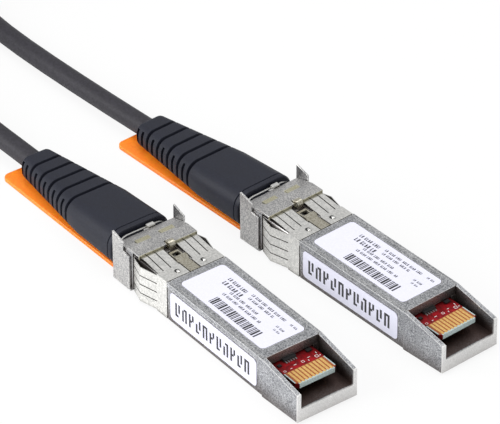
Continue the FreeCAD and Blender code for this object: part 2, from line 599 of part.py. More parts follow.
def latch(p):
    """Sprung pawl with its boss, the pin it turns on, and the curled spring behind it."""
    n = "pawl_" + p
    top = s.neck_top + s.sheet_film - s.pawl_top_drop
    low = top - s.pawl_thick
    strip = box(n + "_strip", (x_pawl_end, x_pivot + s.pin_radius + s.hub_wall), half(s.pawl_width), (low, top))
    hub = rod(n + "_hub", "y", s.pin_radius + s.hub_wall, *half(s.pawl_width), (x_pivot, s.pivot_level))
    x_boss = x_neck - s.boss_back
    boss = prism(n + "_boss", "y", [(x_boss, low), (x_boss, top + s.boss_height),
                                    (x_boss + s.boss_length * 0.7, top + s.boss_height),
                                    (x_boss + s.boss_length, top - 0.1), (x_boss + s.boss_length, low)],
                 *half(s.boss_width))
    tools = [rod(n + "_bore", "y", s.pin_radius + s.pin_gap, -s.pawl_width, s.pawl_width, (x_pivot, s.pivot_level)),
             box(n + "_window", (x_boss - s.pawl_window, x_boss - 0.05), half(s.pawl_width * 0.72),
                 (0, s.ear_top))]
    boss_trim = cut(n + "_boss_trim", boss, [box(n + "_boss_side_%d" % k, (x_boss - 1, x_boss + 3),
                                                 half(s.pawl_width + 4 * s.pawl_side_gap), (0, s.neck_top))
                                             for k in range(1)])
    node(cut(n, fuse(n + "_solid", [strip, hub, boss_trim]), tools), "latch_pawl_" + p, p)
    pin = doc.addObject("PartDesign::Body", "pin_" + p)
    sketch = sketch_on(pin, "pin_outline_" + p, "y", s.pin_length / 2)
    sketch.addGeometry(Part.Circle(FreeCAD.Vector(x_pivot.value, s.pivot_level.value, 0), FreeCAD.Vector(0, 0, 1),
                                   s.pin_radius.value), False)
    for kind, size in (("DistanceX", x_pivot), ("DistanceY", s.pivot_level)):
        k = sketch.addConstraint(Sketcher.Constraint(kind, -1, 1, 0, 3, size.value))
        sketch.setExpression("Constraints[%d]" % k, size.text)
    k = sketch.addConstraint(Sketcher.Constraint("Radius", 0, s.pin_radius.value))
    sketch.setExpression("Constraints[%d]" % k, s.pin_radius.text)
    node(pad(pin, sketch, "y", *half(s.pin_length)), "pawl_pin_" + p, p)
    c = "curl_" + p
    ys = (s.curl_offset - s.curl_width / 2, s.curl_offset + s.curl_width / 2)
    level = curl_floor + s.curl_radius
    ring = fuse(c + "_solid", [rod(c + "_out", "y", s.curl_radius, *ys, (x_curl, level)),
                               box(c + "_foot", (x_curl - 0.6, x_curl + 0.6), ys, (curl_floor, curl_floor + 0.2))])
    node(cut(c, ring, [rod(c + "_in", "y", s.curl_radius - s.curl_sheet, ys[0] - 1, ys[1] + 1, (x_curl, level))]),
         "pawl_spring_" + p, p)


def retaining_plate(p):
    """Bent steel plate on the head: level lip over the finger tips, ramp with two slots, rear hook."""
    n = "plate_" + p
    t, front = s.plate_thick, x_head + s.plate_front
    low_rear, rear = plate_low - s.plate_drop, x_head_end
    sheet_plate = prism(n + "_sheet", "y", [
        (rear, low_rear), (x_ramp, plate_low), (front, plate_low), (front, plate_low + t), (x_ramp, plate_low + t),
        (rear, low_rear + t)], *half(s.plate_width))
    hook = box(n + "_hook", (rear - t, rear), (0, s.hook_width), (low_rear + t - s.hook_height, low_rear + t))
    x_slot = x_ramp - 0.6
    tools = [box("%s_slot_%d" % (n, k), (x_slot - s.plate_slot_run, x_slot),
                 (y, y + s.plate_slot_width), (0, s.ear_top + 1))
             for k, y in enumerate((s.plate_slot_side, -s.plate_slot_side - s.plate_slot_width))]
    tools.append(box(n + "_notch", (x_curl - s.curl_radius - 0.15, front + 1),
                     (s.curl_offset - s.curl_width / 2 - 0.15, s.curl_offset + s.curl_width / 2 + 0.15),
                     (0, s.ear_top)))
    return node(cut(n, fuse(n + "_solid", [sheet_plate, hook]), tools), "retaining_plate_" + p, p)


def release_slider(p):
    """Folded steel slider: web under the head, two side arms with raised ears, two spring lugs."""
    n = "slider_" + p
    inner = head_side + s.slider_side_gap
    outer = inner + s.slider_sheet
    rear = x_head_end - s.arm_back
    outline = [(rear, web_low), (rear + s.arm_front, web_low), (rear + s.arm_front, s.arm_shoulder),
               (rear + s.arm_front - 0.9, s.arm_shoulder), (rear + s.arm_neck, s.arm_shoulder + 0.3),
               (rear + s.arm_neck, s.ear_front), (rear, s.ear_top)]
    web = box(n + "_web", (rear, x_lug + s.slider_sheet), (-outer, outer), (web_low, web_top))
    tongue = box(n + "_tongue", (rear - s.web_tail, rear), half(s.web_width), (web_low, web_top))
    parts = [web, tongue, prism(n + "_arm_left", "y", outline, inner, outer),
             prism(n + "_arm_right", "y", outline, -outer, -inner)]
    for tag, sign in (("left", 1), ("right", -1)):
        middle = s.spring_offset * sign
        parts.append(box("%s_lug_%s" % (n, tag), (x_lug, x_lug + s.slider_sheet),
                         (middle - s.lug_width / 2, middle + s.lug_width / 2),
                         (web_low, spring_level + s.spring_radius)))
        spring = prism("spring_%s_%s" % (tag, p), "x", octagon(middle, spring_level, s.spring_radius),
                       x_spring_end, x_spring)
        node(spring, "return_spring_%s_%s" % (tag, p), p)
    node(fuse(n, parts), "release_slider_" + p, p)
    near, far = rear - s.tab_front + 0.3, rear - s.tab_back + 0.3
    tab = doc.addObject("PartDesign::Body", "tab_%s_solid" % p)
    sketch = sketch_on(tab, "tab_outline_" + p, "z", 0)
    wide, back, c = s.tab_width / 2, s.tab_end_width / 2, s.tab_corner
    polygon(sketch, [(near, -wide), (near, wide), (far + c, back), (far + c * 0.3, back - c * 0.3), (far, back - c),
                     (far, -back + c), (far + c * 0.3, -back + c * 0.3), (far + c, -back)])
    pad(tab, sketch, "z", 0, s.tab_thick)
    pocket = box("tab_%s_pocket" % p, (rear - s.web_tail, near + 1), half(s.web_width), (web_low, web_top))
    node(cut("tab_" + p, tab, [pocket]), "pull_tab_" + p, p)


def octagon(y, z, radius):
    """Corners of an eight-sided section inside the radius."""
    return [(y + radius * math.cos((k + 0.5) * math.pi / 4), z + radius * math.sin((k + 0.5) * math.pi / 4))
            for k in range(8)]


def hank_of_slack():
    """Closed ring of the folded cable, with round ends, and the strap round its middle."""
    top = s.hank_low + s.hank_height
    rings = []
    for name, radius in (("hank_outside", s.hank_outer), ("hank_inside", s.hank_inner)):
        reach = s.hank_run / 2 + radius
        rings.append(slab(name, "z", (s.hank_x - reach, s.hank_x + reach, s.hank_y - radius, s.hank_y + radius),
                          radius - s.hank_flat, s.hank_low, top))
    ring = cut("hank", rings[0], [rings[1]])
    node(ring, "cable_hank")
    film = s.hank_low
    left, right = s.hank_y - s.hank_outer, s.hank_y + s.hank_outer
    ends = (s.hank_x - s.tie_width / 2, s.hank_x + s.tie_width / 2)
    strap = slab("strap_solid", "x", (left - film, right + film, 0, top + film), film, *ends)
    node(cut("strap", strap, [box("strap_inside", ends, (left, right), (film, top))]), "hank_tie")
    return ring


def round_corners(points):
    """Straight runs joined by tangent arcs; each arc's radius is 0.45 of the shorter run over tan(turn / 2)."""
    edges, radii, start = [], [], points[0]
    for before, corner, after in zip(points, points[1:], points[2:]):
        back, forth = before - corner, after - corner
        shorter = min(back.Length, forth.Length)
        turn = math.pi - back.getAngle(forth)
        reach = 0.45 * shorter
        radius = reach / math.tan(turn / 2)
        radii.append(radius)
        back.normalize()
        forth.normalize()
        first, last = corner + back * reach, corner + forth * reach
        inward = back + forth
        inward.normalize()
        middle = corner + inward * (radius / math.cos(turn / 2) - radius)
        edges.append(Part.LineSegment(start, first).toShape())
        edges.append(Part.Arc(first, middle, last).toShape())
        start = last
    edges.append(Part.LineSegment(start, points[-1]).toShape())
    return edges, radii


def cable_run(name, label, points, hank):
    """Round tube along a route, ending at the face of the hank."""
    edges, radii = round_corners(points)
    wire = Part.Wire(edges)
    direction = points[1] - points[0]
    profile = Part.Wire([Part.Circle(points[0], direction, cable_radius.value).toShape()])
    tube = doc.addObject("Part::Feature", name + "_tube")
    tube.Shape = wire.makePipeShell([profile], True, False)
    expected = math.pi * cable_radius.value ** 2 * wire.Length
    print(label, "length %.1f" % wire.Length, "radii", " ".join("%.1f" % r for r in radii),
          "volume share %.4f" % (tube.Shape.Volume / expected))
    node(cut(name, tube, [hank]), label)


def exit_of(p):
    """Where a plug's cable leaves its boot, and the direction it leaves in."""
    yaw = math.radians(getattr(s, "plug_%s_yaw" % p).value)
    slope = math.radians(s.cable_drop_angle.value)
    base = FreeCAD.Vector(getattr(s, "plug_%s_x" % p).value, getattr(s, "plug_%s_y" % p).value, 0)
    turn = FreeCAD.Rotation(FreeCAD.Vector(0, 0, 1), math.degrees(yaw))
    point = base + turn.multVec(FreeCAD.Vector(x_end.value, 0, s.cable_exit_level.value))
    return point, turn.multVec(FreeCAD.Vector(-math.cos(slope), 0, -math.sin(slope)))


for p in ("a", "b"):
    base_shell(p)
    lid(p)
    labels(p)
    paddle_card(p)
    cable_entry(p)
    head_cover(p)
    emi_collar(p)
    latch(p)
    retaining_plate(p)
    release_slider(p)
    strain_boot(p)
hank = hank_of_slack()
doc.recompute()

# Routes of the two free stretches, from each boot to the hank.
floor = cable_radius.value
plug_a = FreeCAD.Vector(s.plug_a_x.value, s.plug_a_y.value, 0)
for p, route in (("a", [(-144.0, -6.1, 9.9), (-160.5, -10.9, 19.4), (-174.5, -10.2, 22.2)]),
                 ("b", [(-142.5, 21.0, 0.2), (-158.5, 23.4, 0.4), (-171.5, 28.7, 0.6)])):
    start, direction = exit_of(p)
    landing = start + direction * ((start.z - floor) / -direction.z * 0.85)
    cable_run("run_" + p, "cable_run_" + p,
              [start, landing] + [plug_a + FreeCAD.Vector(x, y, floor + z) for x, y, z in route], hank)
doc.recompute()

for obj in doc.Objects:
    if "Invalid" in obj.State or "Error" in obj.State:
        raise RuntimeError("%s did not compute: %s" % (obj.Name, obj.State))
for obj in subparts:
    if obj.Shape.isNull() or not obj.Shape.isValid() or obj.Shape.Volume <= 0:
        raise RuntimeError("%s has no valid solid" % obj.Label)
os.makedirs("parts", exist_ok=True)
for obj in subparts:
    obj.Shape.exportStep(os.path.join("parts", obj.Label + ".step"))
print(len(subparts), "sub-parts written")
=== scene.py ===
"""Looks of a direct attach copper cable: two pluggable plugs and the cable between them."""
import logging
import math
from dataclasses import dataclass, field
from enum import Enum
from typing import Iterable, Optional, Sequence

import bmesh
import bpy
from mathutils import Matrix, Vector


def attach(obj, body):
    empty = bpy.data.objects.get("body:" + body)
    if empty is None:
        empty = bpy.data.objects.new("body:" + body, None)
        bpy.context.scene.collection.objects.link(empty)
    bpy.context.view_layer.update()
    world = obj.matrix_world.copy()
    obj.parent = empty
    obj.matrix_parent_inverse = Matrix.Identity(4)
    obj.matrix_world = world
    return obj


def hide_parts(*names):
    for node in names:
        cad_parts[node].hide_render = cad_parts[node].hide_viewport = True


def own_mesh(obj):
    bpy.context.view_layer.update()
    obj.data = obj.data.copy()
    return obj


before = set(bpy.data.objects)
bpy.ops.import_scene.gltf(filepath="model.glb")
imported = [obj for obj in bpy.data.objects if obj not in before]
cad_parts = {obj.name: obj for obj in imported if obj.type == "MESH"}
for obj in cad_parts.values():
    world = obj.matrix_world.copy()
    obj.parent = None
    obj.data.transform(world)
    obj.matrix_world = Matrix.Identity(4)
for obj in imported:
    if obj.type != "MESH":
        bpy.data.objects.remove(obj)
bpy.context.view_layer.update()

MM = 0.001
ROOT = "cable_and_shells"
EDGE_TURN = (0.99, 0.86)        # likeness of the normals where the painted edge highlight starts and is full
EDGE_SHARE = 0.85
PAINTED_SHADE_OPEN = (0.94, 0.45)      # openness where the painted shade starts and is full
PAINTED_SHADE_SHARE = 0.9
LIGHT_ROOM_RIM = (1.01, 1.0)         # plan distance where a room of painted light starts and is full
LIGHT_ROOM_FADE = (1.0, 0.3)         # height, as a share of the half size, likewise
PATCH_SHARE = 0.15              # how much of the broad pattern goes into the colour
NODE_RAYS = 6
WELD_DISTANCE = 2e-6            # metres
EDGE_ANGLE = 40.0               # degrees
NEAR = 0.01                     # millimetres, for finding a station or a slot again
log = logging.getLogger("cable")
Span = tuple[float, float]
Triple = tuple[float, float, float]
Mesh = bmesh.types.BMesh
Socket = bpy.types.NodeSocket


class Axis(Enum):
    """A direction in a plug's own frame."""

    X = 0
    Y = 1
    Z = 2


@dataclass(frozen=True)
class Place:
    """Where one plug lies: its nose tip on the surface and its turn.

    Args:
        tag: ending of the plug's node names.
        x: millimetres.
        y: millimetres.
        yaw: degrees.
    """

    tag: str
    x: float
    y: float
    yaw: float

    def matrix(self) -> Matrix:
        """Returns the turn from the plug's own millimetres to the row frame's metres."""
        return (Matrix.Translation((self.x * MM, self.y * MM, 0))
                @ Matrix.Rotation(math.radians(self.yaw), 4, "Z") @ Matrix.Scale(MM, 4))

    def name(self, node: str) -> str:
        """Returns the plug's own name for a node or body."""
        return f"{node}_{self.tag}"

    def point(self, x: float, y: float, z: float) -> Vector:
        """Returns a point of the plug in the row frame, in metres."""
        return self.matrix() @ Vector((x, y, z))


PLUGS = (Place("a", 45.52, -14.43, 0.0), Place("b", 49.51, 15.32, 3.5))


# ---------------------------------------------------------------- finishes

@dataclass(frozen=True)
class Tree:
    """A material's nodes, with short ways to add what the finishes share.

    Args:
        nodes: the tree's nodes.
        links: the tree's links.
    """

    nodes: bpy.types.Nodes
    links: bpy.types.NodeLinks

    def fill(self, node: bpy.types.Node, sockets: dict) -> bpy.types.Node:
        """Sets or links inputs.

        Args:
            node: the node.
            sockets: input names or numbers, each with a value or an output to link.

        Returns:
            The same node.
        """
        for name, value in sockets.items():
            if isinstance(value, Socket):
                self.links.new(value, node.inputs[name])
            else:
                node.inputs[name].default_value = value
        return node

    def add(self, kind: str, sockets: Optional[dict] = None, **settings: object) -> bpy.types.Node:
        """Adds a node.

        Args:
            kind: its type, without the common prefix.
            sockets: its inputs.
            settings: its own options, set before the inputs.

        Returns:
            The new node.
        """
        node = self.nodes.new("ShaderNode" + kind)
        for name, value in settings.items():
            setattr(node, name, value)
        return self.fill(node, sockets or {})

    def noise(self, vector: Socket, size_mm: float, octaves: float) -> Socket:
        """Returns a noise with features of a size in millimetres."""
        values = {"Vector": vector, "Scale": 1.0 / (size_mm * MM), "Detail": octaves}
        return self.add("TexNoise", values).outputs["Fac"]

    def share(self, value: Socket, ends: Span, top: float = 1.0) -> Socket:
        """Returns how far a value lies between two ends, from 0 to top."""
        limits = {"Value": value, "From Min": ends[0], "From Max": ends[1], "To Max": top}
        return self.add("MapRange", limits).outputs["Result"]

    def tint(self, share: Socket, colour: Socket, other: Triple) -> Socket:
        """Returns a colour with a share of another one mixed in."""
        sockets = {"Factor": share, "A": colour, "B": (*other, 1)}
        return self.add("Mix", sockets, data_type="RGBA").outputs["Result"]


@dataclass(frozen=True)
class PaintedLightRoom:
    """Room of a plug whose faces get painted light: a colour mixed in that stands for shade or for
    a highlight there.

    Args:
        middle: centre in the plug's own millimetres.
        half: half sizes in millimetres; the colour fades over the last one.
        colour: the room's colour.
        amount: the colour's largest share.
    """

    middle: Triple
    half: Triple
    colour: Triple
    amount: float

    def mixed(self, tree: Tree, here: Socket, colour: Socket, plug: Place) -> Socket:
        """Mixes the room's painted light in for one plug.

        Args:
            tree: the material's nodes.
            here: object coordinates.
            colour: the colour outside the room.
            plug: where the plug lies.

        Returns:
            The mixed colour.
        """
        local = tree.add("Mapping", {
            "Vector": here, "Location": plug.point(*self.middle),
            "Rotation": (0, 0, math.radians(plug.yaw)),
            "Scale": [MM * half for half in self.half]}, vector_type="TEXTURE")
        away = tree.add("VectorMath", {0: local.outputs["Vector"]}, operation="ABSOLUTE")
        split = tree.add("SeparateXYZ", {"Vector": away.outputs["Vector"]}).outputs
        widest = tree.add("Math", {0: split["X"], 1: split["Y"]}, operation="MAXIMUM")
        plan = tree.share(widest.outputs["Value"], LIGHT_ROOM_RIM)
        level = tree.share(split["Z"], LIGHT_ROOM_FADE, self.amount)
        both = tree.add("Math", {0: plan, 1: level}, operation="MULTIPLY")
        return tree.tint(both.outputs["Value"], colour, self.colour)


@dataclass(frozen=True)
class Finish:
    """A procedural surface finish. Colours are linear, and sizes are in millimetres.

    Args:
        name: material name.
        colour: base colour.
        second: colour that the fine pattern mixes in.
        roughness: lowest and highest roughness.
        metallic: metal share.
        grain_mm: size of the fine pattern.
        bump: strength of the fine pattern's relief, 0 to 1.
        depth_mm: bump distance.
        patch_mm: size of the broad tone changes.
        coat: clear coat weight.
        specular: dielectric reflection level.
        subsurface: share of light that spreads inside.
        edge_highlight: colour of the painted highlight along the edges, or None for edges like the
            rest.
        edge_highlight_mm: width of the painted highlight along the edges.
        contrast: low and high ends of the pattern's blend.
        recess_shade: colour of the painted shade in closed-in places, or None for no painted
            shade.
        recess_shade_mm: how far apart the walls of a closed-in place may be.
        painted_light_rooms: rooms of the plugs with painted shade or a painted highlight.
    """

    name: str
    colour: Triple
    second: Triple
    roughness: Span
    metallic: float = 0.0
    grain_mm: float = 0.3
    bump: float = 0.1
    depth_mm: float = 0.01
    patch_mm: float = 2.0
    coat: float = 0.0
    specular: float = 0.5
    subsurface: float = 0.0
    edge_highlight: Optional[Triple] = None
    edge_highlight_mm: float = 0.16
    contrast: Span = (0.38, 0.62)
    recess_shade: Optional[Triple] = None
    recess_shade_mm: float = 4.0
    painted_light_rooms: tuple[PaintedLightRoom, ...] = ()

    def material(self) -> bpy.types.Material:
        """Returns the material, made on first use."""
        known = bpy.data.materials.get(self.name)
        return known if known else self.build()

    def build(self) -> bpy.types.Material:
        """Builds the node tree.

        Returns:
            The new material.
        """
        mat = bpy.data.materials.new(self.name)
        mat.use_nodes = True
        tree = Tree(mat.node_tree.nodes, mat.node_tree.links)
        shader = tree.nodes["Principled BSDF"]
        here = tree.add("TexCoord").outputs["Object"]
        fine = tree.noise(here, self.grain_mm, 3.0)
        broad = tree.noise(here, self.patch_mm, 2.0)
        low, high = self.roughness
        rough = tree.add("MapRange", {"Value": broad, "To Min": low, "To Max": high})
        tree.fill(shader, {
            "Metallic": self.metallic, "Specular IOR Level": self.specular,
            "Coat Weight": self.coat, "Roughness": rough.outputs["Result"],
            "Base Color": self.tone(tree, here, fine, broad)})
        if self.subsurface:
            tree.fill(shader, {"Subsurface Weight": self.subsurface, "Subsurface Scale": 1.0,
                               "Subsurface Radius": (0.001, 0.0004, 0.0001)})
        if self.bump:
            relief = tree.add("Bump", {"Strength": self.bump, "Distance": self.depth_mm * MM,
                                       "Height": fine})
            tree.fill(shader, {"Normal": relief.outputs["Normal"]})
        return mat

    def tone(self, tree: Tree, here: Socket, fine: Socket, broad: Socket) -> Socket:
        """Mixes the base colour, the painted edge highlights, the painted shade in closed-in
        places and the nose's painted shade and highlight.

        Args:
            tree: the material's nodes.
            here: object coordinates.
            fine: the fine pattern.
            broad: the broad pattern.

        Returns:
            The final colour.
        """
        blend = tree.add("Mix", {"Factor": PATCH_SHARE, "A": fine, "B": broad})
        ramp = tree.add("ValToRGB", {"Fac": blend.outputs["Result"]})
        for element, position, tone in zip(ramp.color_ramp.elements, self.contrast,
                                           (self.second, self.colour)):
            element.position = position
            element.color = (*tone, 1)
        colour = ramp.outputs["Color"]
        # painted highlight along the edges
        if self.edge_highlight:
            colour = self.painted_edge_highlight(tree, colour)
        # painted shade: ambient occlusion darkens closed-in places
        if self.recess_shade:
            closed = tree.add("AmbientOcclusion", {"Distance": self.recess_shade_mm * MM},
                              samples=NODE_RAYS)
            share = tree.share(closed.outputs["AO"], PAINTED_SHADE_OPEN, PAINTED_SHADE_SHARE)
            colour = tree.tint(share, colour, self.recess_shade)
        # painted shade in the nose room and a painted highlight on the nose face
        for light_room in self.painted_light_rooms:
            for plug in PLUGS:
                colour = light_room.mixed(tree, here, colour, plug)
        return colour

    def painted_edge_highlight(self, tree: Tree, colour: Socket) -> Socket:
        """Paints a highlight along the edges, where a rounded normal leaves the face's own.

        Args:
            tree: the material's nodes.
            colour: the colour away from the edges.

        Returns:
            The mixed colour.
        """
        face = tree.add("NewGeometry").outputs["True Normal"]
        soft = tree.add("Bevel", {"Radius": self.edge_highlight_mm * MM}, samples=NODE_RAYS)
        turn = tree.add("VectorMath", {0: face, 1: soft.outputs["Normal"]},
                        operation="DOT_PRODUCT")
        share = tree.share(turn.outputs["Value"], EDGE_TURN, EDGE_SHARE)
        return tree.tint(share, colour, self.edge_highlight)


# colour of the painted highlight along the edges of castings and sheets
EDGE_HIGHLIGHT_GREY = (0.93, 0.93, 0.92)
# painted shade: the room inside the nose darkened to brown, with the red board's reflection
# painted in
NOSE_ROOM_SHADE = PaintedLightRoom((-5.75, 0.0, 3.2), (5.25, 6.1, 3.0), (0.085, 0.052, 0.045), 0.86)
# painted highlight: the nose's front face lightened to near white
NOSE_FACE_HIGHLIGHT = PaintedLightRoom((0.0, 0.0, 3.2), (0.3, 7.5, 30.0), (0.95, 0.94, 0.92), 0.6)
# cast zinc with painted highlights along its edges, painted shade in its recesses, painted shade
# inside the nose and a painted highlight on the nose's face
CASTING = Finish(
    "cast_zinc", (0.66, 0.67, 0.69), (0.17, 0.175, 0.19), roughness=(0.36, 0.52), metallic=0.9,
    grain_mm=0.24, bump=0.8, depth_mm=0.04, patch_mm=4.0, edge_highlight=EDGE_HIGHLIGHT_GREY, edge_highlight_mm=0.26,
    contrast=(0.36, 0.66), recess_shade=(0.11, 0.085, 0.075), recess_shade_mm=5.0,
    painted_light_rooms=(NOSE_ROOM_SHADE, NOSE_FACE_HIGHLIGHT))
# sheet steel with painted highlights along its edges
SHEET = Finish(
    "sheet_steel", (0.74, 0.73, 0.71), (0.34, 0.34, 0.35), roughness=(0.26, 0.42), metallic=0.9,
    grain_mm=0.26, bump=0.4, depth_mm=0.02, patch_mm=4.0, edge_highlight=EDGE_HIGHLIGHT_GREY, edge_highlight_mm=0.16)
# collar sheet with painted shade in narrow gaps, such as the slits between its fingers
SPRING = Finish(
    "collar_sheet", (0.92, 0.91, 0.88), (0.68, 0.68, 0.66), roughness=(0.18, 0.34), metallic=0.85,
    grain_mm=0.4, patch_mm=3.0, recess_shade=(0.16, 0.15, 0.13), recess_shade_mm=0.9)
# plating with painted highlights along its edges
PLATED = Finish(
    "plated_lip", (0.62, 0.60, 0.46), (0.40, 0.37, 0.24), roughness=(0.25, 0.4), metallic=0.8,
    grain_mm=0.24, bump=0.3, depth_mm=0.015, edge_highlight=(0.86, 0.84, 0.72), edge_highlight_mm=0.08)
PAWL = Finish(
    "pawl_steel", (0.66, 0.63, 0.54), (0.38, 0.35, 0.27), roughness=(0.2, 0.32), metallic=0.9,
    bump=0.15)
# rubber with painted highlights along its edges and groove rims
RUBBER = Finish(
    "boot_rubber", (0.0150, 0.0175, 0.0300), (0.0075, 0.0080, 0.0140), roughness=(0.46, 0.62),
    grain_mm=0.16, bump=0.7, depth_mm=0.012, patch_mm=4.0, specular=0.34,
    edge_highlight=(0.030, 0.034, 0.052), edge_highlight_mm=0.10)
JACKET = Finish(
    "cable_jacket", (0.034, 0.032, 0.040), (0.024, 0.023, 0.028), roughness=(0.44, 0.56),
    grain_mm=0.5, bump=0.2, depth_mm=0.02, patch_mm=6.0, specular=0.3)
# orange plastic with a painted highlight, a paler band, along its rims
TAB = Finish(
    "tab_orange", (1.0, 0.262, 0.014), (0.95, 0.20, 0.010), roughness=(0.38, 0.46), grain_mm=0.5,
    bump=0.06, patch_mm=9.0, subsurface=0.25, edge_highlight=(1.0, 0.46, 0.13), edge_highlight_mm=0.3)
# solder mask with painted shade in closed-in places, such as where it runs in under the lid
BOARD = Finish(
    "board_mask", (0.34, 0.000, 0.006), (0.14, 0.000, 0.002), roughness=(0.3, 0.4), grain_mm=0.9,
    specular=0.25, coat=0.08, recess_shade=(0.035, 0.002, 0.002), recess_shade_mm=3.0)
LAMINATE = Finish(
    "board_core", (0.50, 0.60, 0.61), (0.36, 0.44, 0.42), roughness=(0.4, 0.5))
AMBER = Finish(
    "board_bare", (0.36, 0.10, 0.022), (0.24, 0.06, 0.014), roughness=(0.3, 0.4))
GOLD = Finish(
    "pad_gold", (1.0, 0.66, 0.24), (0.88, 0.50, 0.16), roughness=(0.2, 0.34), metallic=0.7,
    grain_mm=0.4, bump=0.06)
CHIP = Finish(
    "chip_black", (0.012, 0.012, 0.013), (0.006, 0.006, 0.006), roughness=(0.4, 0.5), grain_mm=0.2,
    bump=0.3)
SOLDER = Finish(
    "solder", (0.82, 0.82, 0.82), (0.6, 0.6, 0.6), roughness=(0.15, 0.25), metallic=0.9,
    grain_mm=0.4)
SILK = Finish(
    "silk_print", (0.86, 0.84, 0.82), (0.76, 0.74, 0.72), roughness=(0.5, 0.6), grain_mm=0.2,
    depth_mm=0.005)
LABEL = Finish(
    "label_film", (0.765, 0.765, 0.88), (0.73, 0.73, 0.85), roughness=(0.38, 0.46), bump=0.04,
    depth_mm=0.005, patch_mm=8.0)
INK = Finish(
    "label_ink", (0.020, 0.020, 0.024), (0.035, 0.035, 0.04), roughness=(0.5, 0.6), grain_mm=0.2,
    bump=0.05, depth_mm=0.005, patch_mm=3.0)
GREY_INK = Finish(
    "label_grey_ink", (0.07, 0.07, 0.085), (0.12, 0.12, 0.14), roughness=(0.5, 0.6), grain_mm=0.2,
    bump=0.05, depth_mm=0.005, patch_mm=3.0)
CORE = Finish(
    "core_foil", (0.62, 0.62, 0.60), (0.5, 0.5, 0.5), roughness=(0.3, 0.4), metallic=0.6,
    grain_mm=0.5, patch_mm=3.0)
BRASS = Finish(
    "ferrule_brass", (0.62, 0.46, 0.2), (0.5, 0.36, 0.16), roughness=(0.25, 0.35), metallic=1.0,
    grain_mm=0.4, patch_mm=3.0)
STRAP = Finish(
    "strap_weave", (0.012, 0.012, 0.013), (0.03, 0.03, 0.032), roughness=(0.7, 0.85), grain_mm=0.5,
    bump=0.5, depth_mm=0.05, patch_mm=4.0)


# ---------------------------------------------------------------- mesh helpers

def shifted(span: Span, by: float) -> Span:
    """Returns a span moved by a distance."""
    return by + span[0], by + span[1]


def around(middle: float, size: float) -> Span:
    """Returns the span of a size about a middle."""
    return middle - size / 2, middle + size / 2


def both_sides(span: Span) -> tuple[Span, Span]:
    """Returns a span's mirror image and the span."""
    return (-span[1], -span[0]), span


def cuts(middle: float, *reaches: float) -> list[float]:
    """Returns the places that lie at each reach to both sides of a middle."""
    return [middle + side * reach for reach in reaches for side in (-1, 1)]


def block(bm: Mesh, xs: Span, ys: Span, zs: Span) -> list[bmesh.types.BMVert]:
    """Adds a block between low and high sides.

    Args:
        bm: the mesh.
        xs: low and high X.
        ys: low and high Y.
        zs: low and high Z.

    Returns:
        Its corners.
    """
    size = Vector((xs[1] - xs[0], ys[1] - ys[0], zs[1] - zs[0]))
    middle = Vector(((xs[0] + xs[1]) / 2, (ys[0] + ys[1]) / 2, (zs[0] + zs[1]) / 2))
    move = Matrix.Translation(middle) @ Matrix.Diagonal((*size, 1))
    return bmesh.ops.create_cube(bm, size=1.0, matrix=move)["verts"]


def edges_along(verts: Iterable[bmesh.types.BMVert], axis: Axis) -> list[bmesh.types.BMEdge]:
    """Returns the edges among these corners that run along an axis."""
    chosen, known = [], set(verts)
    for edge in {e for v in known for e in v.link_edges}:
        if all(v in known for v in edge.verts):
            way = edge.verts[1].co - edge.verts[0].co
            if abs(way[axis.value]) > 0.99 * way.length:
                chosen.append(edge)
    return chosen


def round_edges(bm: Mesh, edges: Sequence[bmesh.types.BMEdge], radius: float, steps: int) -> None:
    """Bevels edges to a round.

    Args:
        bm: the mesh.
        edges: the edges.
        radius: bevel size.
        steps: segments.
    """
    bmesh.ops.bevel(bm, geom=list(edges), offset=radius, offset_type="OFFSET", segments=steps,
                    profile=0.5, affect="EDGES", material=-1, clamp_overlap=True)


def slice_at(bm: Mesh, axis: Axis, places: Iterable[float]) -> None:
    """Cuts every face at planes square to an axis.

    Args:
        bm: the mesh.
        axis: the planes' normal.
        places: where they stand.
    """
    normal = Vector([1.0 if k == axis.value else 0.0 for k in range(3)])
    for place in places:
        everything = bm.verts[:] + bm.edges[:] + bm.faces[:]
        bmesh.ops.bisect_plane(bm, geom=everything, dist=1e-5, plane_co=normal * place,
                               plane_no=normal)


def upright_rod(bm: Mesh, radius: float, low: Sequence[float], height: float) -> None:
    """Adds a closed upright cylinder.

    Args:
        bm: the mesh.
        radius: its radius.
        low: centre of its low end.
        height: its height.
    """
    matrix = Matrix.Translation(low) @ Matrix.Translation((0, 0, height / 2))
    bmesh.ops.create_cone(bm, cap_ends=True, cap_tris=False, segments=24, radius1=radius,
                          radius2=radius, depth=height, matrix=matrix)


def open_band(bm: Mesh, thickness: float, lowest_normal: float) -> None:
    """Opens a bar's ends, and its underside if asked, and gives the skin left a thickness.

    Args:
        bm: the mesh with the bar along X and nothing else.
        thickness: the skin's thickness.
        lowest_normal: faces whose normal points further down than this are taken away.
    """
    gone = [f for f in bm.faces if f.normal.z < lowest_normal or abs(f.normal.x) > 0.9]
    bmesh.ops.delete(bm, geom=gone, context="FACES")
    bmesh.ops.recalc_face_normals(bm, faces=bm.faces[:])
    bmesh.ops.solidify(bm, geom=bm.faces[:], thickness=thickness)


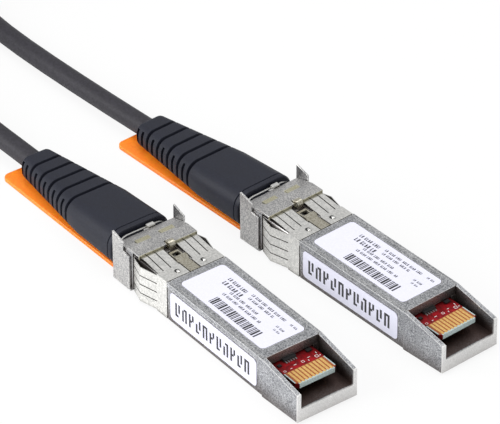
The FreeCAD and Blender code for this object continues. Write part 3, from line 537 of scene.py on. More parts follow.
@dataclass
class Piece:
    """One finished piece of the model.

    Args:
        name: the object's name.
        finish: its finish.
        body: the body that it rides on.
        slot: a material slot's name; it is not used.
        replaces: CAD nodes that it stands for.
        crease: edges sharper than this many degrees stay crisp.
    """

    name: str
    finish: Finish
    body: str
    slot: str
    replaces: tuple[str, ...] = ()
    crease: float = 32.0

    def add(self, bm: Mesh, matrix: Matrix) -> bpy.types.Object:
        """Args:
            bm: the mesh in millimetres; it is used up.
            matrix: its place.

        Returns:
            The new object.
        """
        bmesh.ops.transform(bm, matrix=matrix, verts=bm.verts[:])
        bmesh.ops.recalc_face_normals(bm, faces=bm.faces[:])
        crisp = math.radians(self.crease)
        for face in bm.faces:
            face.smooth = True
        for edge in bm.edges:
            edge.smooth = len(edge.link_faces) == 2 and edge.calc_face_angle(0.0) < crisp
        mesh = bpy.data.meshes.new(self.name)
        bm.to_mesh(mesh)
        bm.free()
        obj = bpy.data.objects.new(self.name, mesh)
        bpy.context.scene.collection.objects.link(obj)
        mesh.materials.append(self.finish.material())
        self.declare(obj)
        return obj

    def declare(self, obj: bpy.types.Object) -> None:
        """Rides and replaces."""
        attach(obj, self.body)
        if self.replaces:
            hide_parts(*self.replaces)
        log.info("piece %s on %s", self.name, self.body)


def dress(node: str, finish: Finish, edge_mm: float = 0.0) -> None:
    """Gives a CAD node its finish and softened edges.

    Args:
        node: the node's name.
        finish: its finish.
        edge_mm: size of the edge rounding, or 0 for none.
    """
    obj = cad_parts[node]
    obj.data.materials.clear()
    obj.data.materials.append(finish.material())
    if edge_mm:
        weld = obj.modifiers.new("weld", "WELD")
        weld.merge_threshold = WELD_DISTANCE
        bevel = obj.modifiers.new("soft_edges", "BEVEL")
        bevel.width = edge_mm * MM
        bevel.segments = 2
        bevel.limit_method = "ANGLE"
        bevel.angle_limit = math.radians(EDGE_ANGLE)
        bevel.harden_normals = True
    log.info("dressed %s", node)


# ---------------------------------------------------------------- the plug's own pieces

@dataclass
class Part:
    """A group of pieces of one plug.

    Args:
        place: where the plug lies.
    """

    place: Place

    def name(self, node: str) -> str:
        """Returns the plug's own name for a node or body."""
        return self.place.name(node)

    def piece(self, bm: Mesh, name: str, finish: Finish, slot: str, stands_for: str = "",
              body: str = ROOT, crease: float = 32.0) -> None:
        """Makes one piece of the plug.

        Args:
            bm: the mesh in the plug's own millimetres.
            name: the piece's name, without the plug's ending.
            finish: its finish.
            slot: a material slot's name.
            stands_for: CAD node that it replaces, without the plug's ending.
            body: the body that it rides on.
            crease: edges sharper than this many degrees stay crisp.
        """
        replaced = (self.name(stands_for),) if stands_for else ()
        Piece(self.name(name), finish, body, slot, replaced, crease).add(bm, self.place.matrix())


@dataclass
class Shell(Part):
    """Castings, collar, plate, slider sheet and latch, whose shapes come with the frame.

    Spans of the lip and the slots count from the plate's front, back and top.

    Args:
        cast_edge: edge rounding of the castings.
        sheet_edge: edge rounding of the sheets.
        castings: nodes of the die castings.
        sheets: nodes of the plain sheets.
        pip: middle of the collar's pips, halfway between them.
        pip_aside: how far each pip stands to its side.
        pip_radius: their radius before stretching.
        pip_stretch: their stretch along each axis.
        pip_shade: shift of the painted shade, a dark ring, round a pip.
        pip_shade_radius: the ring's radius, as a share of the pip's.
        pip_shade_height: the ring's height.
        plate_x: front and back of the retaining plate.
        plate_z: its top.
        lip: X, Y and Z of the plated lip on one side.
        slot: X, Y and Z of the slot floor on one side.
        rim_bar: X, Y and Z of the bar that the rim is made from.
        rim_round: radius of its upper corners.
        rim_thick: its thickness.
        clip: X, Y and Z of the small clip.
        spring_end: fixed end of the return springs.
        spring_length: their length at rest; it is not used.
        spring_travel: how far the slider presses them; it is not used.
        latch: nodes of the latch.
    """

    cast_edge: float = 0.10
    sheet_edge: float = 0.05
    castings: tuple[str, ...] = ("base_shell", "head_cover", "lid")
    sheets: tuple[str, ...] = ("retaining_plate", "release_slider")
    pip: Triple = (-41.2, 0.0, 8.47)
    pip_aside: float = 3.0
    pip_radius: float = 0.42
    pip_stretch: Triple = (1.15, 0.8, 0.55)
    pip_shade: Triple = (-0.28, -0.05, -0.02)
    pip_shade_radius: float = 1.25
    pip_shade_height: float = 0.035
    plate_x: Span = (-48.45, -51.45)
    plate_z: float = 9.3
    lip: tuple[Span, Span, Span] = ((-0.12, 0.06), (1.05, 6.66), (-0.85, -0.02))
    slot: tuple[Span, Span, Span] = ((-1.75, -0.65), (1.2, 4.3), (-0.47, -0.20))
    rim_bar: tuple[Span, Span, Span] = ((-56.95, -56.6), (-5.9, 5.9), (4.2, 8.0))
    rim_round: float = 2.6
    rim_thick: float = 0.16
    clip: tuple[Span, Span, Span] = ((-56.9, -56.05), (0.9, 2.5), (7.6, 8.45))
    spring_end: float = -55.0
    spring_length: float = 3.9
    spring_travel: float = 2.0
    latch: tuple[str, ...] = ("latch_pawl", "pawl_pin", "pawl_spring", "return_spring_left",
                              "return_spring_right")

    def build(self) -> None:
        """Dresses every metal node of the plug."""
        for node in self.castings:
            dress(self.name(node), CASTING, self.cast_edge)
        for node in self.sheets:
            dress(self.name(node), SHEET, self.sheet_edge)
        dress(self.name("emi_collar"), SPRING)
        for node in self.latch:
            dress(self.name(node), PAWL)
        self.springs()
        dress(self.name("cable_cores"), CORE)
        dress(self.name("ferrule"), BRASS)
        dress(self.name("cable_stub"), JACKET)
        self.pips()
        self.plated()
        self.rim()

    def springs(self) -> None:
        """Gives each return spring a mesh of its own."""
        axis = (self.place.matrix().to_3x3() @ Vector((1.0, 0.0, 0.0))).normalized()
        anchor = self.place.point(self.spring_end, 0.0, 0.0)
        for side in ("left", "right"):
            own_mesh(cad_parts[self.name(f"return_spring_{side}")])

    def pips(self) -> None:
        """Adds the two pressed pips on the collar, in front of the lid, and the painted shade
        round them as dark rings.
        """
        x, _, z = self.pip
        bm = bmesh.new()
        for y in (-self.pip_aside, self.pip_aside):
            matrix = Matrix.Translation((x, y, z)) @ Matrix.Diagonal((*self.pip_stretch, 1))
            bmesh.ops.create_uvsphere(bm, u_segments=20, v_segments=12, radius=self.pip_radius,
                                      matrix=matrix)
        self.piece(bm, "collar_pips", SPRING, "spring_sheet")
        # painted shade: flat black discs round the pips
        bm = bmesh.new()
        for y in (-self.pip_aside, self.pip_aside):
            low = (x + self.pip_shade[0], y + self.pip_shade[1], z + self.pip_shade[2])
            upright_rod(bm, self.pip_radius * self.pip_shade_radius, low, self.pip_shade_height)
        self.piece(bm, "collar_pip_shades", CHIP, "spring_sheet")

    def plated(self) -> None:
        """Adds the plated front lip and the two slot floors of the retaining plate."""
        bm = bmesh.new()
        for (xs, ys, zs), start in zip((self.lip, self.slot), self.plate_x):
            for side in both_sides(ys):
                block(bm, shifted(xs, start), side, shifted(zs, self.plate_z))
        self.piece(bm, "plate_lip", PLATED, "spring_sheet")

    def rim(self) -> None:
        """Adds a thin arched strip of bright sheet, a painted highlight along the boot root's rim,
        and the small clip between the plate and the boot.
        """
        # painted highlight: a bright sheet strip arched over the boot root; the clip is a plain
        # block
        bm = bmesh.new()
        corners = block(bm, *self.rim_bar)
        half_way = sum(self.rim_bar[2]) / 2
        top = [e for e in edges_along(corners, Axis.X) if e.verts[0].co.z > half_way]
        round_edges(bm, top, self.rim_round, 8)
        open_band(bm, self.rim_thick, -0.9)
        block(bm, *self.clip)
        self.piece(bm, "head_rim_highlight_and_clip", SPRING, "spring_sheet")


@dataclass
class Card(Part):
    """Edge card: board, pads, chips and white print.

    Args:
        top: level of the board's top.
        film: thickness of what is printed or laid on the board.
        strip: X and Y of the amber strip.
        end: X and Y of the pale face at the tip.
        end_depth: how far it goes down.
        shelf: X and Y of the pale edge in front of the pads.
        side: X and Y of the pale edge beside the pads, on one side.
        chip_sizes: X, Y, length, width and height of each chip.
        leg_x: ends of the legs; their pitch and sizes follow.
        frames: X, Y and size of each printed square.
        frame_line: its line, as a share of its size.
        ticks: X, Y, length and width of each printed tick.
    """

    top: float = 6.25
    film: float = 0.02
    strip: tuple[Span, Span] = ((-6.95, -3.42), (-4.5, 4.5))
    end: tuple[Span, Span] = ((-3.02, -2.97), (-3.98, 3.98))
    end_depth: float = 0.97
    shelf: tuple[Span, Span] = ((-3.44, -3.0), (-4.02, 4.02))
    side: tuple[Span, Span] = ((-6.9, -3.62), (4.36, 4.6))
    chip_sizes: tuple[tuple[float, ...], ...] = (
        (-10.5, -1.0, 1.6, 2.8, 0.45), (-9.9, 3.3, 0.8, 1.1, 0.3), (-9.3, -3.8, 0.6, 0.7, 0.25),
        (-15.5, 0, 2.2, 2.8, 0.7), (-23.5, 0, 2.2, 2.8, 0.7), (-31.5, 0, 2.2, 2.8, 0.7))
    leg_x: Span = (-9.75, -9.15)
    leg_first: float = -2.1
    leg_pitch: float = 0.55
    leg_width: float = 0.26
    leg_height: float = 0.12
    legs: int = 5
    frames: tuple[Triple, ...] = ((-7.7, 3.5, 0.62), (-7.9, 0.5, 0.5), (-7.5, -3.9, 0.42))
    frame_line: float = 0.14
    ticks: tuple[tuple[float, ...], ...] = (
        (-8.3, 2.1, 0.12, 0.5), (-7.6, 1.6, 0.4, 0.12), (-8.0, -1.2, 0.12, 0.6),
        (-7.5, -2.4, 0.12, 0.4), (-8.6, 4.0, 0.5, 0.12), (-7.6, 4.2, 0.2, 0.2))

    def build(self) -> None:
        """Dresses the board and adds what lies on it."""
        dress(self.name("paddle_card"), BOARD)
        dress(self.name("contact_pads"), GOLD)
        self.bare_edge()
        self.chips()
        self.marks()

    def bare_edge(self) -> None:
        """Adds the amber strip under the pads and the pale laminate at the board's tip."""
        level = (self.top, self.top + self.film)
        bm = bmesh.new()
        block(bm, *self.strip, level)
        self.piece(bm, "card_bare_strip", AMBER, "board")
        bm = bmesh.new()
        block(bm, *self.end, (self.top - self.end_depth, self.top + self.film))
        block(bm, *self.shelf, level)
        for side in both_sides(self.side[1]):
            block(bm, self.side[0], side, (self.top, self.top + self.film * 2))
        self.piece(bm, "card_tip", LAMINATE, "board")

    def chips(self) -> None:
        """Adds the low chips and their legs, in front of the lid and under it."""
        bm = bmesh.new()
        for x, y, long, wide, tall in self.chip_sizes:
            block(bm, around(x, long), around(y, wide), (self.top, self.top + tall))
        self.piece(bm, "card_chip_bodies", CHIP, "chip", "card_chips")
        bm = bmesh.new()
        for k in range(self.legs):
            block(bm, self.leg_x, around(self.leg_first + k * self.leg_pitch, self.leg_width),
                  (self.top, self.top + self.leg_height))
        self.piece(bm, "chip_legs", SOLDER, "chip")

    def marks(self) -> None:
        """Adds white print in front of the lid: small open squares and ticks."""
        bm = bmesh.new()
        level = (self.top, self.top + self.film)
        line = self.frame_line
        for x, y, side in self.frames:
            for dx, dy, long, wide in ((0.5, 0, line, 1), (-0.5, 0, line, 1),
                                       (0, 0.5, 1, line), (0, -0.5, 1, line)):
                block(bm, (x + (dx - long / 2) * side, x + (dx + long / 2) * side),
                      (y + (dy - wide / 2) * side, y + (dy + wide / 2) * side), level)
        for x, y, long, wide in self.ticks:
            block(bm, around(x, long), around(y, wide), level)
        self.piece(bm, "card_marks", SILK, "label")


@dataclass
class Labels(Part):
    """Blank films with generic print: bars, dashes and strokes.

    Args:
        top_box: the top film's X, Y and Z.
        side_box: the side film's X, Y and Z.
        corner: corner radius of both films.
        film: how far print stands out of a film.
        sunk: how deep print starts inside a film.
        bar_count: number of bars; their places, widths and gaps follow.
        rows: first and last X, Y and height of each row of dashes.
        dash_line: line of a dash, as a share of its height; its width and pitch likewise.
        dash_gaps: extra gaps between dashes, in turn.
        stroke_count: number of strokes; their places and forms follow.
    """

    top_box: tuple[Span, Span, Span] = ((-38.0, -12.8), (-5.0, 5.0), (8.4, 8.52))
    side_box: tuple[Span, Span, Span] = ((-38.75, -12.4), (-6.65, -6.53), (0.9, 6.9))
    corner: float = 0.9
    film: float = 0.015
    sunk: float = 0.01
    bar_count: int = 28
    bar_first: float = -30.4
    bar_y: Span = (-4.1, -1.9)
    bar_widths: tuple[float, ...] = (0.18, 0.34, 0.24, 0.46, 0.16)
    bar_gaps: tuple[float, ...] = (0.22, 0.14, 0.32, 0.18)
    rows: tuple[tuple[float, ...], ...] = (
        (-33.6, -27.8, 3.1, 0.8), (-33.4, -28.2, 1.7, 1.0), (-27.0, -16.6, 3.5, 0.62),
        (-26.6, -19.4, 2.4, 0.62), (-30.0, -21.6, 0.7, 0.62), (-30.6, -19.6, -0.5, 0.62),
        (-15.6, -13.8, 3.6, 0.5), (-16.8, -14.6, 1.3, 0.5), (-16.4, -14.9, 0.3, 0.45))
    dash_line: float = 0.2
    dash_width: float = 0.42
    dash_pitch: float = 0.62
    dash_gaps: tuple[float, ...] = (0.0, 0.0, 0.0, 0.34)
    stroke_count: int = 11
    stroke_first: float = -37.2
    stroke_pitch: float = 2.12
    stroke_z: Span = (2.35, 5.35)
    stroke_rises: tuple[float, ...] = (3.0, 2.0, 3.0, 2.5)
    stroke_drops: tuple[float, ...] = (2.0, 3.0, 1.3)
    stroke_bars: tuple[Span, ...] = ((2.35, 2.85), (3.6, 4.1), (4.85, 5.35))
    stroke_xs: tuple[Span, Span, Span] = ((0.0, 0.52), (0.95, 1.47), (0.5, 1.0))

    def build(self) -> None:
        """Builds both labels and their print."""
        self.label("top_label", self.top_box, Axis.Z)
        self.label("side_label", self.side_box, Axis.Y)
        surface = self.top_box[2][1]
        level = (surface - self.sunk, surface + self.film)
        self.bars(level)
        self.dashes(level)
        self.strokes()

    def label(self, node: str, box: tuple[Span, Span, Span], axis: Axis) -> None:
        """Adds one film with round corners.

        Args:
            node: the CAD node that it replaces.
            box: its X, Y and Z.
            axis: the way it faces.
        """
        bm = bmesh.new()
        round_edges(bm, edges_along(block(bm, *box), axis), self.corner, 6)
        self.piece(bm, node + "_film", LABEL, "label", node)

    def bars(self, level: Span) -> None:
        """Adds a block of plain bars at a level."""
        bm = bmesh.new()
        x = self.bar_first
        for k in range(self.bar_count):
            width = self.bar_widths[(k * 3) % len(self.bar_widths)]
            block(bm, (x, x + width), self.bar_y, level)
            x += width + self.bar_gaps[(k * 5) % len(self.bar_gaps)]
        self.piece(bm, "label_bars", INK, "label")

    def dashes(self, level: Span) -> None:
        """Adds rows of small dashes in place of small print, at a level."""
        bm = bmesh.new()
        for first, last, y, tall in self.rows:
            x, k = first, 0
            while x < last:
                self.mark(bm, x, y, tall, k, level)
                x += tall * self.dash_pitch + self.dash_gaps[(k * 3) % len(self.dash_gaps)]
                k += 1
        self.piece(bm, "label_dashes", GREY_INK, "label")

    def mark(self, bm: Mesh, x: float, y: float, tall: float, k: int, level: Span) -> None:
        """Adds one small blank mark, a block with a gap that changes from one to the next.

        Args:
            bm: the mesh.
            x: where it starts.
            y: its middle.
            tall: its height.
            k: its number in the row.
            level: its low and high Z.
        """
        line, wide = tall * self.dash_line, tall * self.dash_width
        block(bm, (x, x + line), (y - tall / 2, y + tall / 2), level)
        if k % 3:
            end = tall / 2 if k % 2 else 0
            block(bm, (x + wide - line, x + wide), (y - tall / 2, y + end), level)
        if k % 4 != 1:
            bar = y + (-tall / 2, 0.0, tall / 2 - line)[k % 3]
            block(bm, (x, x + wide), (bar, bar + line), level)

    def strokes(self) -> None:
        """Adds a row of bold plain strokes on the side label."""
        bm = bmesh.new()
        surface = self.side_box[1][0]
        level = (surface - self.film, surface + self.sunk)
        low, high = self.stroke_z
        x = self.stroke_first
        for k in range(self.stroke_count):
            rise = self.stroke_rises[(k * 3) % len(self.stroke_rises)]
            drop = self.stroke_drops[k % len(self.stroke_drops)]
            heights = ((low, low + rise), (high - drop, high), self.stroke_bars[(k * 2) % 3])
            for xs, zs in zip(self.stroke_xs, heights):
                block(bm, shifted(xs, x), level, zs)
            x += self.stroke_pitch
        self.piece(bm, "side_strokes", INK, "label")


@dataclass
class Boot(Part):
    """Moulded strain relief: straight front, tapered tail with grooves and short side slots.

    Args:
        front: end towards the head.
        taper: where the taper starts.
        end: end towards the cable.
        low: level of the underside.
        half: half width at the front.
        height: height at the front.
        corner: corner radius of the section.
        mid_half: half width where the taper starts.
        mid_height: height there.
        end_half: half width at the end.
        end_height: height there.
        groove_first: distance from the taper's start to the first groove.
        pitch: distance between grooves.
        groove_half: half width of a groove's rim.
        groove_depth: its depth.
        groove_wall: run of a groove's side.
        step_depth: depth of the small step at its rim.
        slot_half: half length of a side slot.
        slot_depth: its depth.
        slot_reach: half its height.
        slot_lift: height of its middle above the section's middle.
        slot_shoulder: run of its upper and lower ends.
        rim: run of the rims of grooves and slots.
        line: distance from the front to the fine line round the boot.
        line_half: its half width.
        line_depth: its depth.
        front_round: radius of the front's edge.
        end_round: radius of the end's edge.
        front_cuts: more stations behind the front.
        end_cuts: more stations before the end.
        count: number of grooves.
        root: X, Y and Z of the smaller root.
        root_corner: corner radius of the root.
    """

    front: float = -57.5
    taper: float = -70.0
    end: float = -92.25
    low: float = 0.9
    half: float = 6.7
    height: float = 7.9
    corner: float = 3.2
    mid_half: float = 6.5
    mid_height: float = 6.9
    end_half: float = 3.5
    end_height: float = 5.0
    groove_first: float = 3.3
    pitch: float = 3.65
    groove_half: float = 0.35
    groove_depth: float = 0.9
    groove_wall: float = 0.1
    step_depth: float = 0.16
    slot_half: float = 0.30
    slot_depth: float = 0.55
    slot_reach: float = 2.3125
    slot_lift: float = 0.5
    slot_shoulder: float = 0.12
    rim: float = 0.08
    line: float = 1.25
    line_half: float = 0.07
    line_depth: float = 0.2
    front_round: float = 0.35
    end_round: float = 0.9
    front_cuts: tuple[float, ...] = (0.02, 0.08, 0.18, 0.35, 3.0, 6.0, 9.0)
    end_cuts: tuple[float, ...] = (0.04, 0.15, 0.35, 0.6, 0.9)
    count: int = 5
    root: tuple[Span, Span, Span] = ((-58.0, -54.6), (-5.45, 5.45), (1.85, 7.35))
    root_corner: float = 1.4

    def grooves(self) -> list[float]:
        """Returns the grooves' middles."""
        return [self.taper - self.groove_first - self.pitch * k for k in range(self.count)]

    def slots(self) -> list[float]:
        """Returns the side slots' middles."""
        between = [x - self.pitch / 2 for x in self.grooves()]
        return between + [self.grooves()[-1] - self.pitch * 0.95]

    def inset(self, x: float) -> float:
        """Returns how far the section draws in at a station, for grooves and rounded ends."""
        for middle in self.grooves():
            away = abs(x - middle)
            if away < self.groove_half - self.groove_wall + NEAR:
                return self.groove_depth
            if away < self.groove_half + NEAR / 10:
                return self.step_depth
        if abs(x - self.front + self.line) < self.line_half + NEAR:
            return self.line_depth
        for edge, reach in ((self.front, self.front_round), (self.end, self.end_round)):
            away = abs(x - edge)
            if away < reach:
                return reach - math.sqrt(max(reach ** 2 - (reach - away) ** 2, 0.0))
        return 0.0

    def stations(self) -> list[float]:
        """Returns where the bar is cut along its length, for each change of its section."""
        wide, wall = self.groove_half, self.groove_wall
        stations = [self.front - s for s in self.front_cuts] + [self.taper]
        stations += cuts(self.front - self.line, self.line_half, self.line_half + wall)
        for middle in self.grooves():
            stations += cuts(middle, wide - wall, wide, wide + self.rim)
        for middle in self.slots():
            stations += cuts(middle, self.slot_half, self.slot_half + self.rim)
        return sorted(stations + [self.end + s for s in self.end_cuts])

    def build(self) -> None:
        """Cuts the stations, then draws each section in to its size."""
        bm = bmesh.new()
        corners = block(bm, (self.end, self.front), (-self.half, self.half),
                        (self.low, self.low + self.height))
        round_edges(bm, edges_along(corners, Axis.X), self.corner, 8)
        slice_at(bm, Axis.X, self.stations())
        centre = self.low + self.height / 2
        middle, reach = centre + self.slot_lift, self.slot_reach
        slice_at(bm, Axis.Z, sorted(cuts(middle, reach, reach + self.slot_shoulder)))
        for vert in bm.verts:
            vert.co = self.drawn(vert.co, centre)
        self.piece(bm, "boot", RUBBER, "boot", "strain_boot", crease=38.0)
        self.neck()

    def drawn(self, co: Vector, centre: float) -> Vector:
        """Moves a vertex from the straight bar to the tapered, grooved form.

        Args:
            co: where it is.
            centre: level of the bar's middle.

        Returns:
            Where it goes.
        """
        share = (self.taper - co.x) / (self.taper - self.end)
        front = min(1.0, max(0.0, (co.x - self.taper) / (self.front - self.taper)))
        if share > 0:
            half = self.mid_half + (self.end_half - self.mid_half) * share
            height = self.mid_height + (self.end_height - self.mid_height) * share
        else:
            half = self.mid_half + (self.half - self.mid_half) * front
            height = self.mid_height + (self.height - self.mid_height) * front
        inset = self.inset(co.x)
        y = co.y / self.half * (half - inset)
        across = (co.z - centre) / (self.height / 2)
        top = height - inset
        low = min(inset, self.front_round)
        z = self.low + low + (across + 1) / 2 * (top - low)
        beside = abs(co.y) > self.half * 0.88
        if beside and abs(co.z - centre - self.slot_lift) < self.slot_reach + NEAR:
            if any(abs(co.x - middle) < self.slot_half + NEAR for middle in self.slots()):
                y -= math.copysign(self.slot_depth, y)
        return Vector((co.x, y, z))

    def neck(self) -> None:
        """Adds the smaller root between the boot and the head."""
        bm = bmesh.new()
        corners = block(bm, *self.root)
        round_edges(bm, edges_along(corners, Axis.X), self.root_corner, 5)
        self.piece(bm, "boot_root", RUBBER, "boot")


@dataclass
class PullTab(Part):
    """Flexible tab under the boot.

    Args:
        xs: rear and front end.
        half: half width at the front.
        rear_half: half width at the rear.
        thick: thickness.
        corner: radius of the rear corners.
        edge: rounding of its top and bottom edges.
    """

    xs: Span = (-95.45, -56.95)
    half: float = 5.4
    rear_half: float = 5.8
    thick: float = 0.85
    corner: float = 1.5
    edge: float = 0.16

    def build(self) -> None:
        """Builds the tab with round rear corners and soft edges."""
        bm = bmesh.new()
        corners = block(bm, self.xs, (-self.half, self.half), (0.0, self.thick))
        rear = self.xs[0] + 1
        for vert in (v for v in corners if v.co.x < rear):
            vert.co.y = math.copysign(self.rear_half, vert.co.y)
        upright = [e for e in edges_along(corners, Axis.Z) if e.verts[0].co.x < rear]
        round_edges(bm, upright, self.corner, 8)
        rim = [e for e in bm.edges if abs(e.verts[0].co.z - e.verts[1].co.z) < 1e-4]
        round_edges(bm, rim, self.edge, 3)
        self.piece(bm, "tab", TAB, "tab", "pull_tab", body=self.name("slider"))


# ---------------------------------------------------------------- the cable

@dataclass
class Cable:
    """The whole cable as one smooth line: out of plug a, through the hank, back to plug b.

    Args:
        diameter: of the jacket.
        centre: middle of the hank on the surface.
        radii: radius of its innermost and outermost turns.
        run: length of its straight part.
        low: its lowest level, which is also the strap's thickness.
        height: its height.
        layers: layers of turns.
        turns: turns in all.
        fold_steps: parts of a half turn.
        climb: share of a layer at each end in which the cable climbs.
        tie_width: width of the strap.
        length: real length between the boots, in metres; it is not used.
        exit_level: level where the cable leaves a boot.
        boot_end: where it leaves, along the plug.
        drop: its slope there, in degrees.
        landing: how much of the way down to the surface the second point takes.
        near: points between each plug and the hank, from plug a's nose tip.
    """

    diameter: float = 4.2
    centre: Span = (-162.2, -5.0)
    radii: Span = (12.6, 21.1)
    run: float = 62.0
    low: float = 0.6
    height: float = 26.0
    layers: int = 6
    turns: float = 11.5
    fold_steps: int = 6
    climb: float = 0.12
    tie_width: float = 6.0
    length: float = 2.81
    exit_level: float = 3.35
    boot_end: float = -92.25
    drop: float = 2.4
    landing: float = 0.85
    near: dict[str, list[Triple]] = field(default_factory=lambda: {
        "a": [(-144.0, -6.6, 12.0), (-158.0, -11.2, 21.4), (-170.0, -11.7, 24.4)],
        "b": [(-142.5, 21.3, 2.3), (-157.5, 25.0, 2.5), (-166.5, 30.3, 2.7)]})

    def leave(self, place: Place) -> list[Vector]:
        """Returns the plug's exit and the landing on the surface."""
        slope = math.tan(math.radians(self.drop))
        run = (self.exit_level - self.diameter / 2) / slope * self.landing
        return [place.point(self.boot_end, 0, self.exit_level),
                place.point(self.boot_end - run, 0, self.exit_level - run * slope)]

    def one_turn(self) -> list[Triple]:
        """Lists one turn's points: shift along the hank, then shares of the radius.

        Each fold has points every 30 degrees, and each run has one point near each of its ends.

        Returns:
            For each point the shift, the share of the radius along and the share across.
        """
        step = math.pi / self.fold_steps
        swell = 1.0 / math.cos(step / 2)
        near, end = self.run / 2 - self.diameter, self.run / 2
        angles = [step * (k + 0.5) for k in range(self.fold_steps)]
        turn = [(near, 0.0, 1.0), (-near, 0.0, 1.0)]
        turn += [(-end, -math.sin(a) * swell, math.cos(a) * swell) for a in angles]
        turn += [(-near, 0.0, -1.0), (near, 0.0, -1.0)]
        turn += [(end, math.sin(a) * swell, -math.cos(a) * swell) for a in angles]
        return turn

    def hank(self) -> list[Vector]:
        """Returns the hank's turns, layer on layer, from the surface up."""
        turn = self.one_turn()
        count = int(self.turns * len(turn)) + 1
        inner, outer = self.radii
        step = (self.height - self.diameter) / (self.layers - 1)
        points = []
        for k in range(count + 1):
            share = k / count * self.layers
            layer = min(int(share), self.layers - 1)
            part = share - layer
            radius = outer + (inner - outer) * (part if layer % 2 == 0 else 1 - part)
            shift, along, across = turn[k % len(turn)]
            level = self.low + self.diameter / 2 + step * (layer + self.rise(layer, part))
            points.append(Vector((self.centre[0] + shift + radius * along,
                                  self.centre[1] + radius * across, level)) * MM)
        return points

    def rise(self, layer: int, part: float) -> float:
        """Returns how far the cable has climbed to the next layer, or has still to climb."""
        if part > 1 - self.climb and layer < self.layers - 1:
            return 0.5 * (part - 1 + self.climb) / self.climb
        if part < self.climb and layer > 0:
            return -0.5 * (1 - part / self.climb)
        return 0.0

    def route(self) -> list[Vector]:
        """Returns the control points from plug a, down through the hank and out to plug b."""
        first, last = PLUGS
        origin = Vector((first.x, first.y, 0))
        out = [(Vector(p) + origin) * MM for p in self.near["a"]]
        back = [(Vector(p) + origin) * MM for p in self.near["b"]]
        wound = list(reversed(self.hank()))
        return self.leave(first) + out + wound + list(reversed(self.leave(last) + back))

    def build(self) -> None:
        """Builds the cable and the strap round its hank."""
        points = self.route()
        curve = bpy.data.curves.new("cable", "CURVE")
        curve.dimensions = "3D"
        spline = curve.splines.new("NURBS")
        spline.points.add(len(points) - 1)
        for point, co in zip(spline.points, points):
            point.co = (*co, 1.0)
        spline.order_u = 3
        spline.use_endpoint_u = True
        spline.resolution_u = 4
        curve.bevel_depth = self.diameter / 2 * MM
        curve.bevel_resolution = 6
        curve.use_fill_caps = True
        curve.materials.append(JACKET.material())
        cable = bpy.data.objects.new("cable", curve)
        bpy.context.scene.collection.objects.link(cable)
        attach(cable, ROOT)
        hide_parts("cable_run_a", "cable_hank", "cable_run_b")
        strap = self.strap()
        tuple(points[0])
        log.info("cable with %d control points", len(points))

    def strap(self) -> bpy.types.Object:
        """Returns the strap round the hank's middle."""
        bm = bmesh.new()
        (x, y), film, wide = self.centre, self.low, self.radii[1] + self.diameter / 2
        corners = block(bm, around(x, self.tie_width), (y - wide - film, y + wide + film),
                        (0.0, self.height + 2 * film))
        round_edges(bm, edges_along(corners, Axis.X), film, 3)
        open_band(bm, film, -2.0)
        return Piece("hank_strap", STRAP, ROOT, "tie", ("hank_tie",)).add(bm, Matrix.Scale(MM, 4))


# ---------------------------------------------------------------- the studio

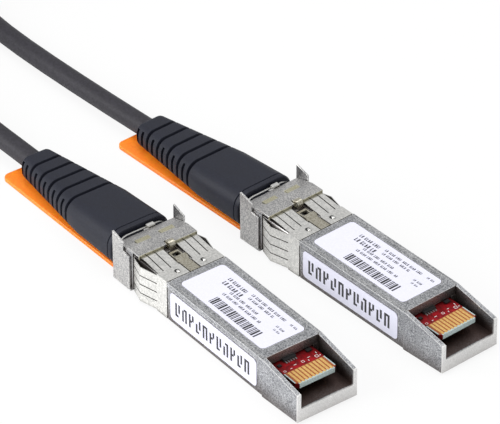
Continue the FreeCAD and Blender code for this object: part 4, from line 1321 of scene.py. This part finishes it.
@dataclass
class Studio:
    """Camera, pale floor and soft lights.

    Args:
        eye: where the camera stands, in metres.
        aim: where it points.
        lens: focal length in millimetres.
        roll: its turn about its own axis in degrees.
        floor_tone: grey of the floor.
        glow: how bright the floor shows itself, where 1 is white.
        sky: strength of the even sky.
        lamps: name, place, side in metres and watts of each soft lamp.
    """

    eye: Triple = (0.534574, -0.397598, 0.489559)
    aim: Triple = (-0.007675, 0.008163, 0.004)
    lens: float = 315.9
    roll: float = -0.22
    floor_tone: float = 0.82
    glow: float = 0.88
    sky: float = 0.55
    lamps: tuple[tuple[str, Triple, float, float], ...] = (
        ("key", (0.1, 0.1, 0.9), 0.8, 4.2), ("left", (-0.25, -0.75, 0.4), 0.6, 7.0))

    def build(self) -> None:
        """Builds the whole setting."""
        self.camera()
        self.floor()
        self.world()
        for lamp in self.lamps:
            self.lamp(*lamp)
        bpy.context.scene.view_settings.view_transform = "Standard"

    def camera(self) -> None:
        """Adds the camera."""
        data = bpy.data.cameras.new("camera")
        data.lens = self.lens
        data.sensor_width = 36.0
        data.clip_end = 10.0
        obj = bpy.data.objects.new("camera", data)
        bpy.context.scene.collection.objects.link(obj)
        way = Vector(self.aim) - Vector(self.eye)
        turn = way.to_track_quat("-Z", "Y").to_matrix().to_4x4()
        roll = Matrix.Rotation(math.radians(self.roll), 4, "Z")
        obj.matrix_world = Matrix.Translation(self.eye) @ turn @ roll
        bpy.context.scene.camera = obj

    def floor(self) -> None:
        """Adds the pale floor, which shows near white and keeps a soft shadow."""
        bm = bmesh.new()
        bmesh.ops.create_grid(bm, x_segments=1, y_segments=1, size=3.0)
        mesh = bpy.data.meshes.new("floor")
        bm.to_mesh(mesh)
        bm.free()
        obj = bpy.data.objects.new("floor", mesh)
        obj.location.z = -0.00005
        bpy.context.scene.collection.objects.link(obj)
        mesh.materials.append(self.floor_material())

    def floor_material(self) -> bpy.types.Material:
        """Returns the floor's material: a plain grey with a glow that only the camera sees."""
        mat = bpy.data.materials.new("floor")
        mat.use_nodes = True
        tree = Tree(mat.node_tree.nodes, mat.node_tree.links)
        tree.nodes.remove(tree.nodes["Principled BSDF"])
        tone = self.floor_tone
        plain = tree.add("BsdfDiffuse", {"Color": (tone, tone, tone, 1)})
        glow = tree.add("Emission", {"Color": (1, 1, 1, 1)})
        seen = tree.add("LightPath").outputs["Is Camera Ray"]
        share = tree.add("Math", {0: seen, 1: self.glow}, operation="MULTIPLY")
        mix = tree.add("MixShader", {"Fac": share.outputs[0], 1: plain.outputs[0],
                                     2: glow.outputs[0]})
        tree.fill(tree.nodes["Material Output"], {"Surface": mix.outputs[0]})
        return mat

    def world(self) -> None:
        """Sets a soft even sky."""
        world = bpy.data.worlds.new("sky")
        bpy.context.scene.world = world
        world.use_nodes = True
        back = world.node_tree.nodes["Background"]
        back.inputs["Color"].default_value = (1, 1, 1, 1)
        back.inputs["Strength"].default_value = self.sky

    def lamp(self, name: str, place: Triple, size: float, power: float) -> None:
        """Adds a square soft lamp that points at the origin.

        Args:
            name: its name.
            place: where it hangs, in metres.
            size: its side in metres.
            power: watts.
        """
        data = bpy.data.lights.new(name, "AREA")
        data.size = size
        data.energy = power
        obj = bpy.data.objects.new(name, data)
        obj.location = place
        obj.rotation_euler = (-Vector(place)).to_track_quat("-Z", "Y").to_euler()
        bpy.context.scene.collection.objects.link(obj)


def main() -> None:
    """Builds the setting, the cable and both plugs."""
    logging.basicConfig(level=logging.INFO, format="%(message)s")
    Studio().build()
    Cable().build()
    for place in PLUGS:
        for part in (Shell(place), Card(place), Labels(place), Boot(place), PullTab(place)):
            part.build()


if __name__ == "__main__":
    main()
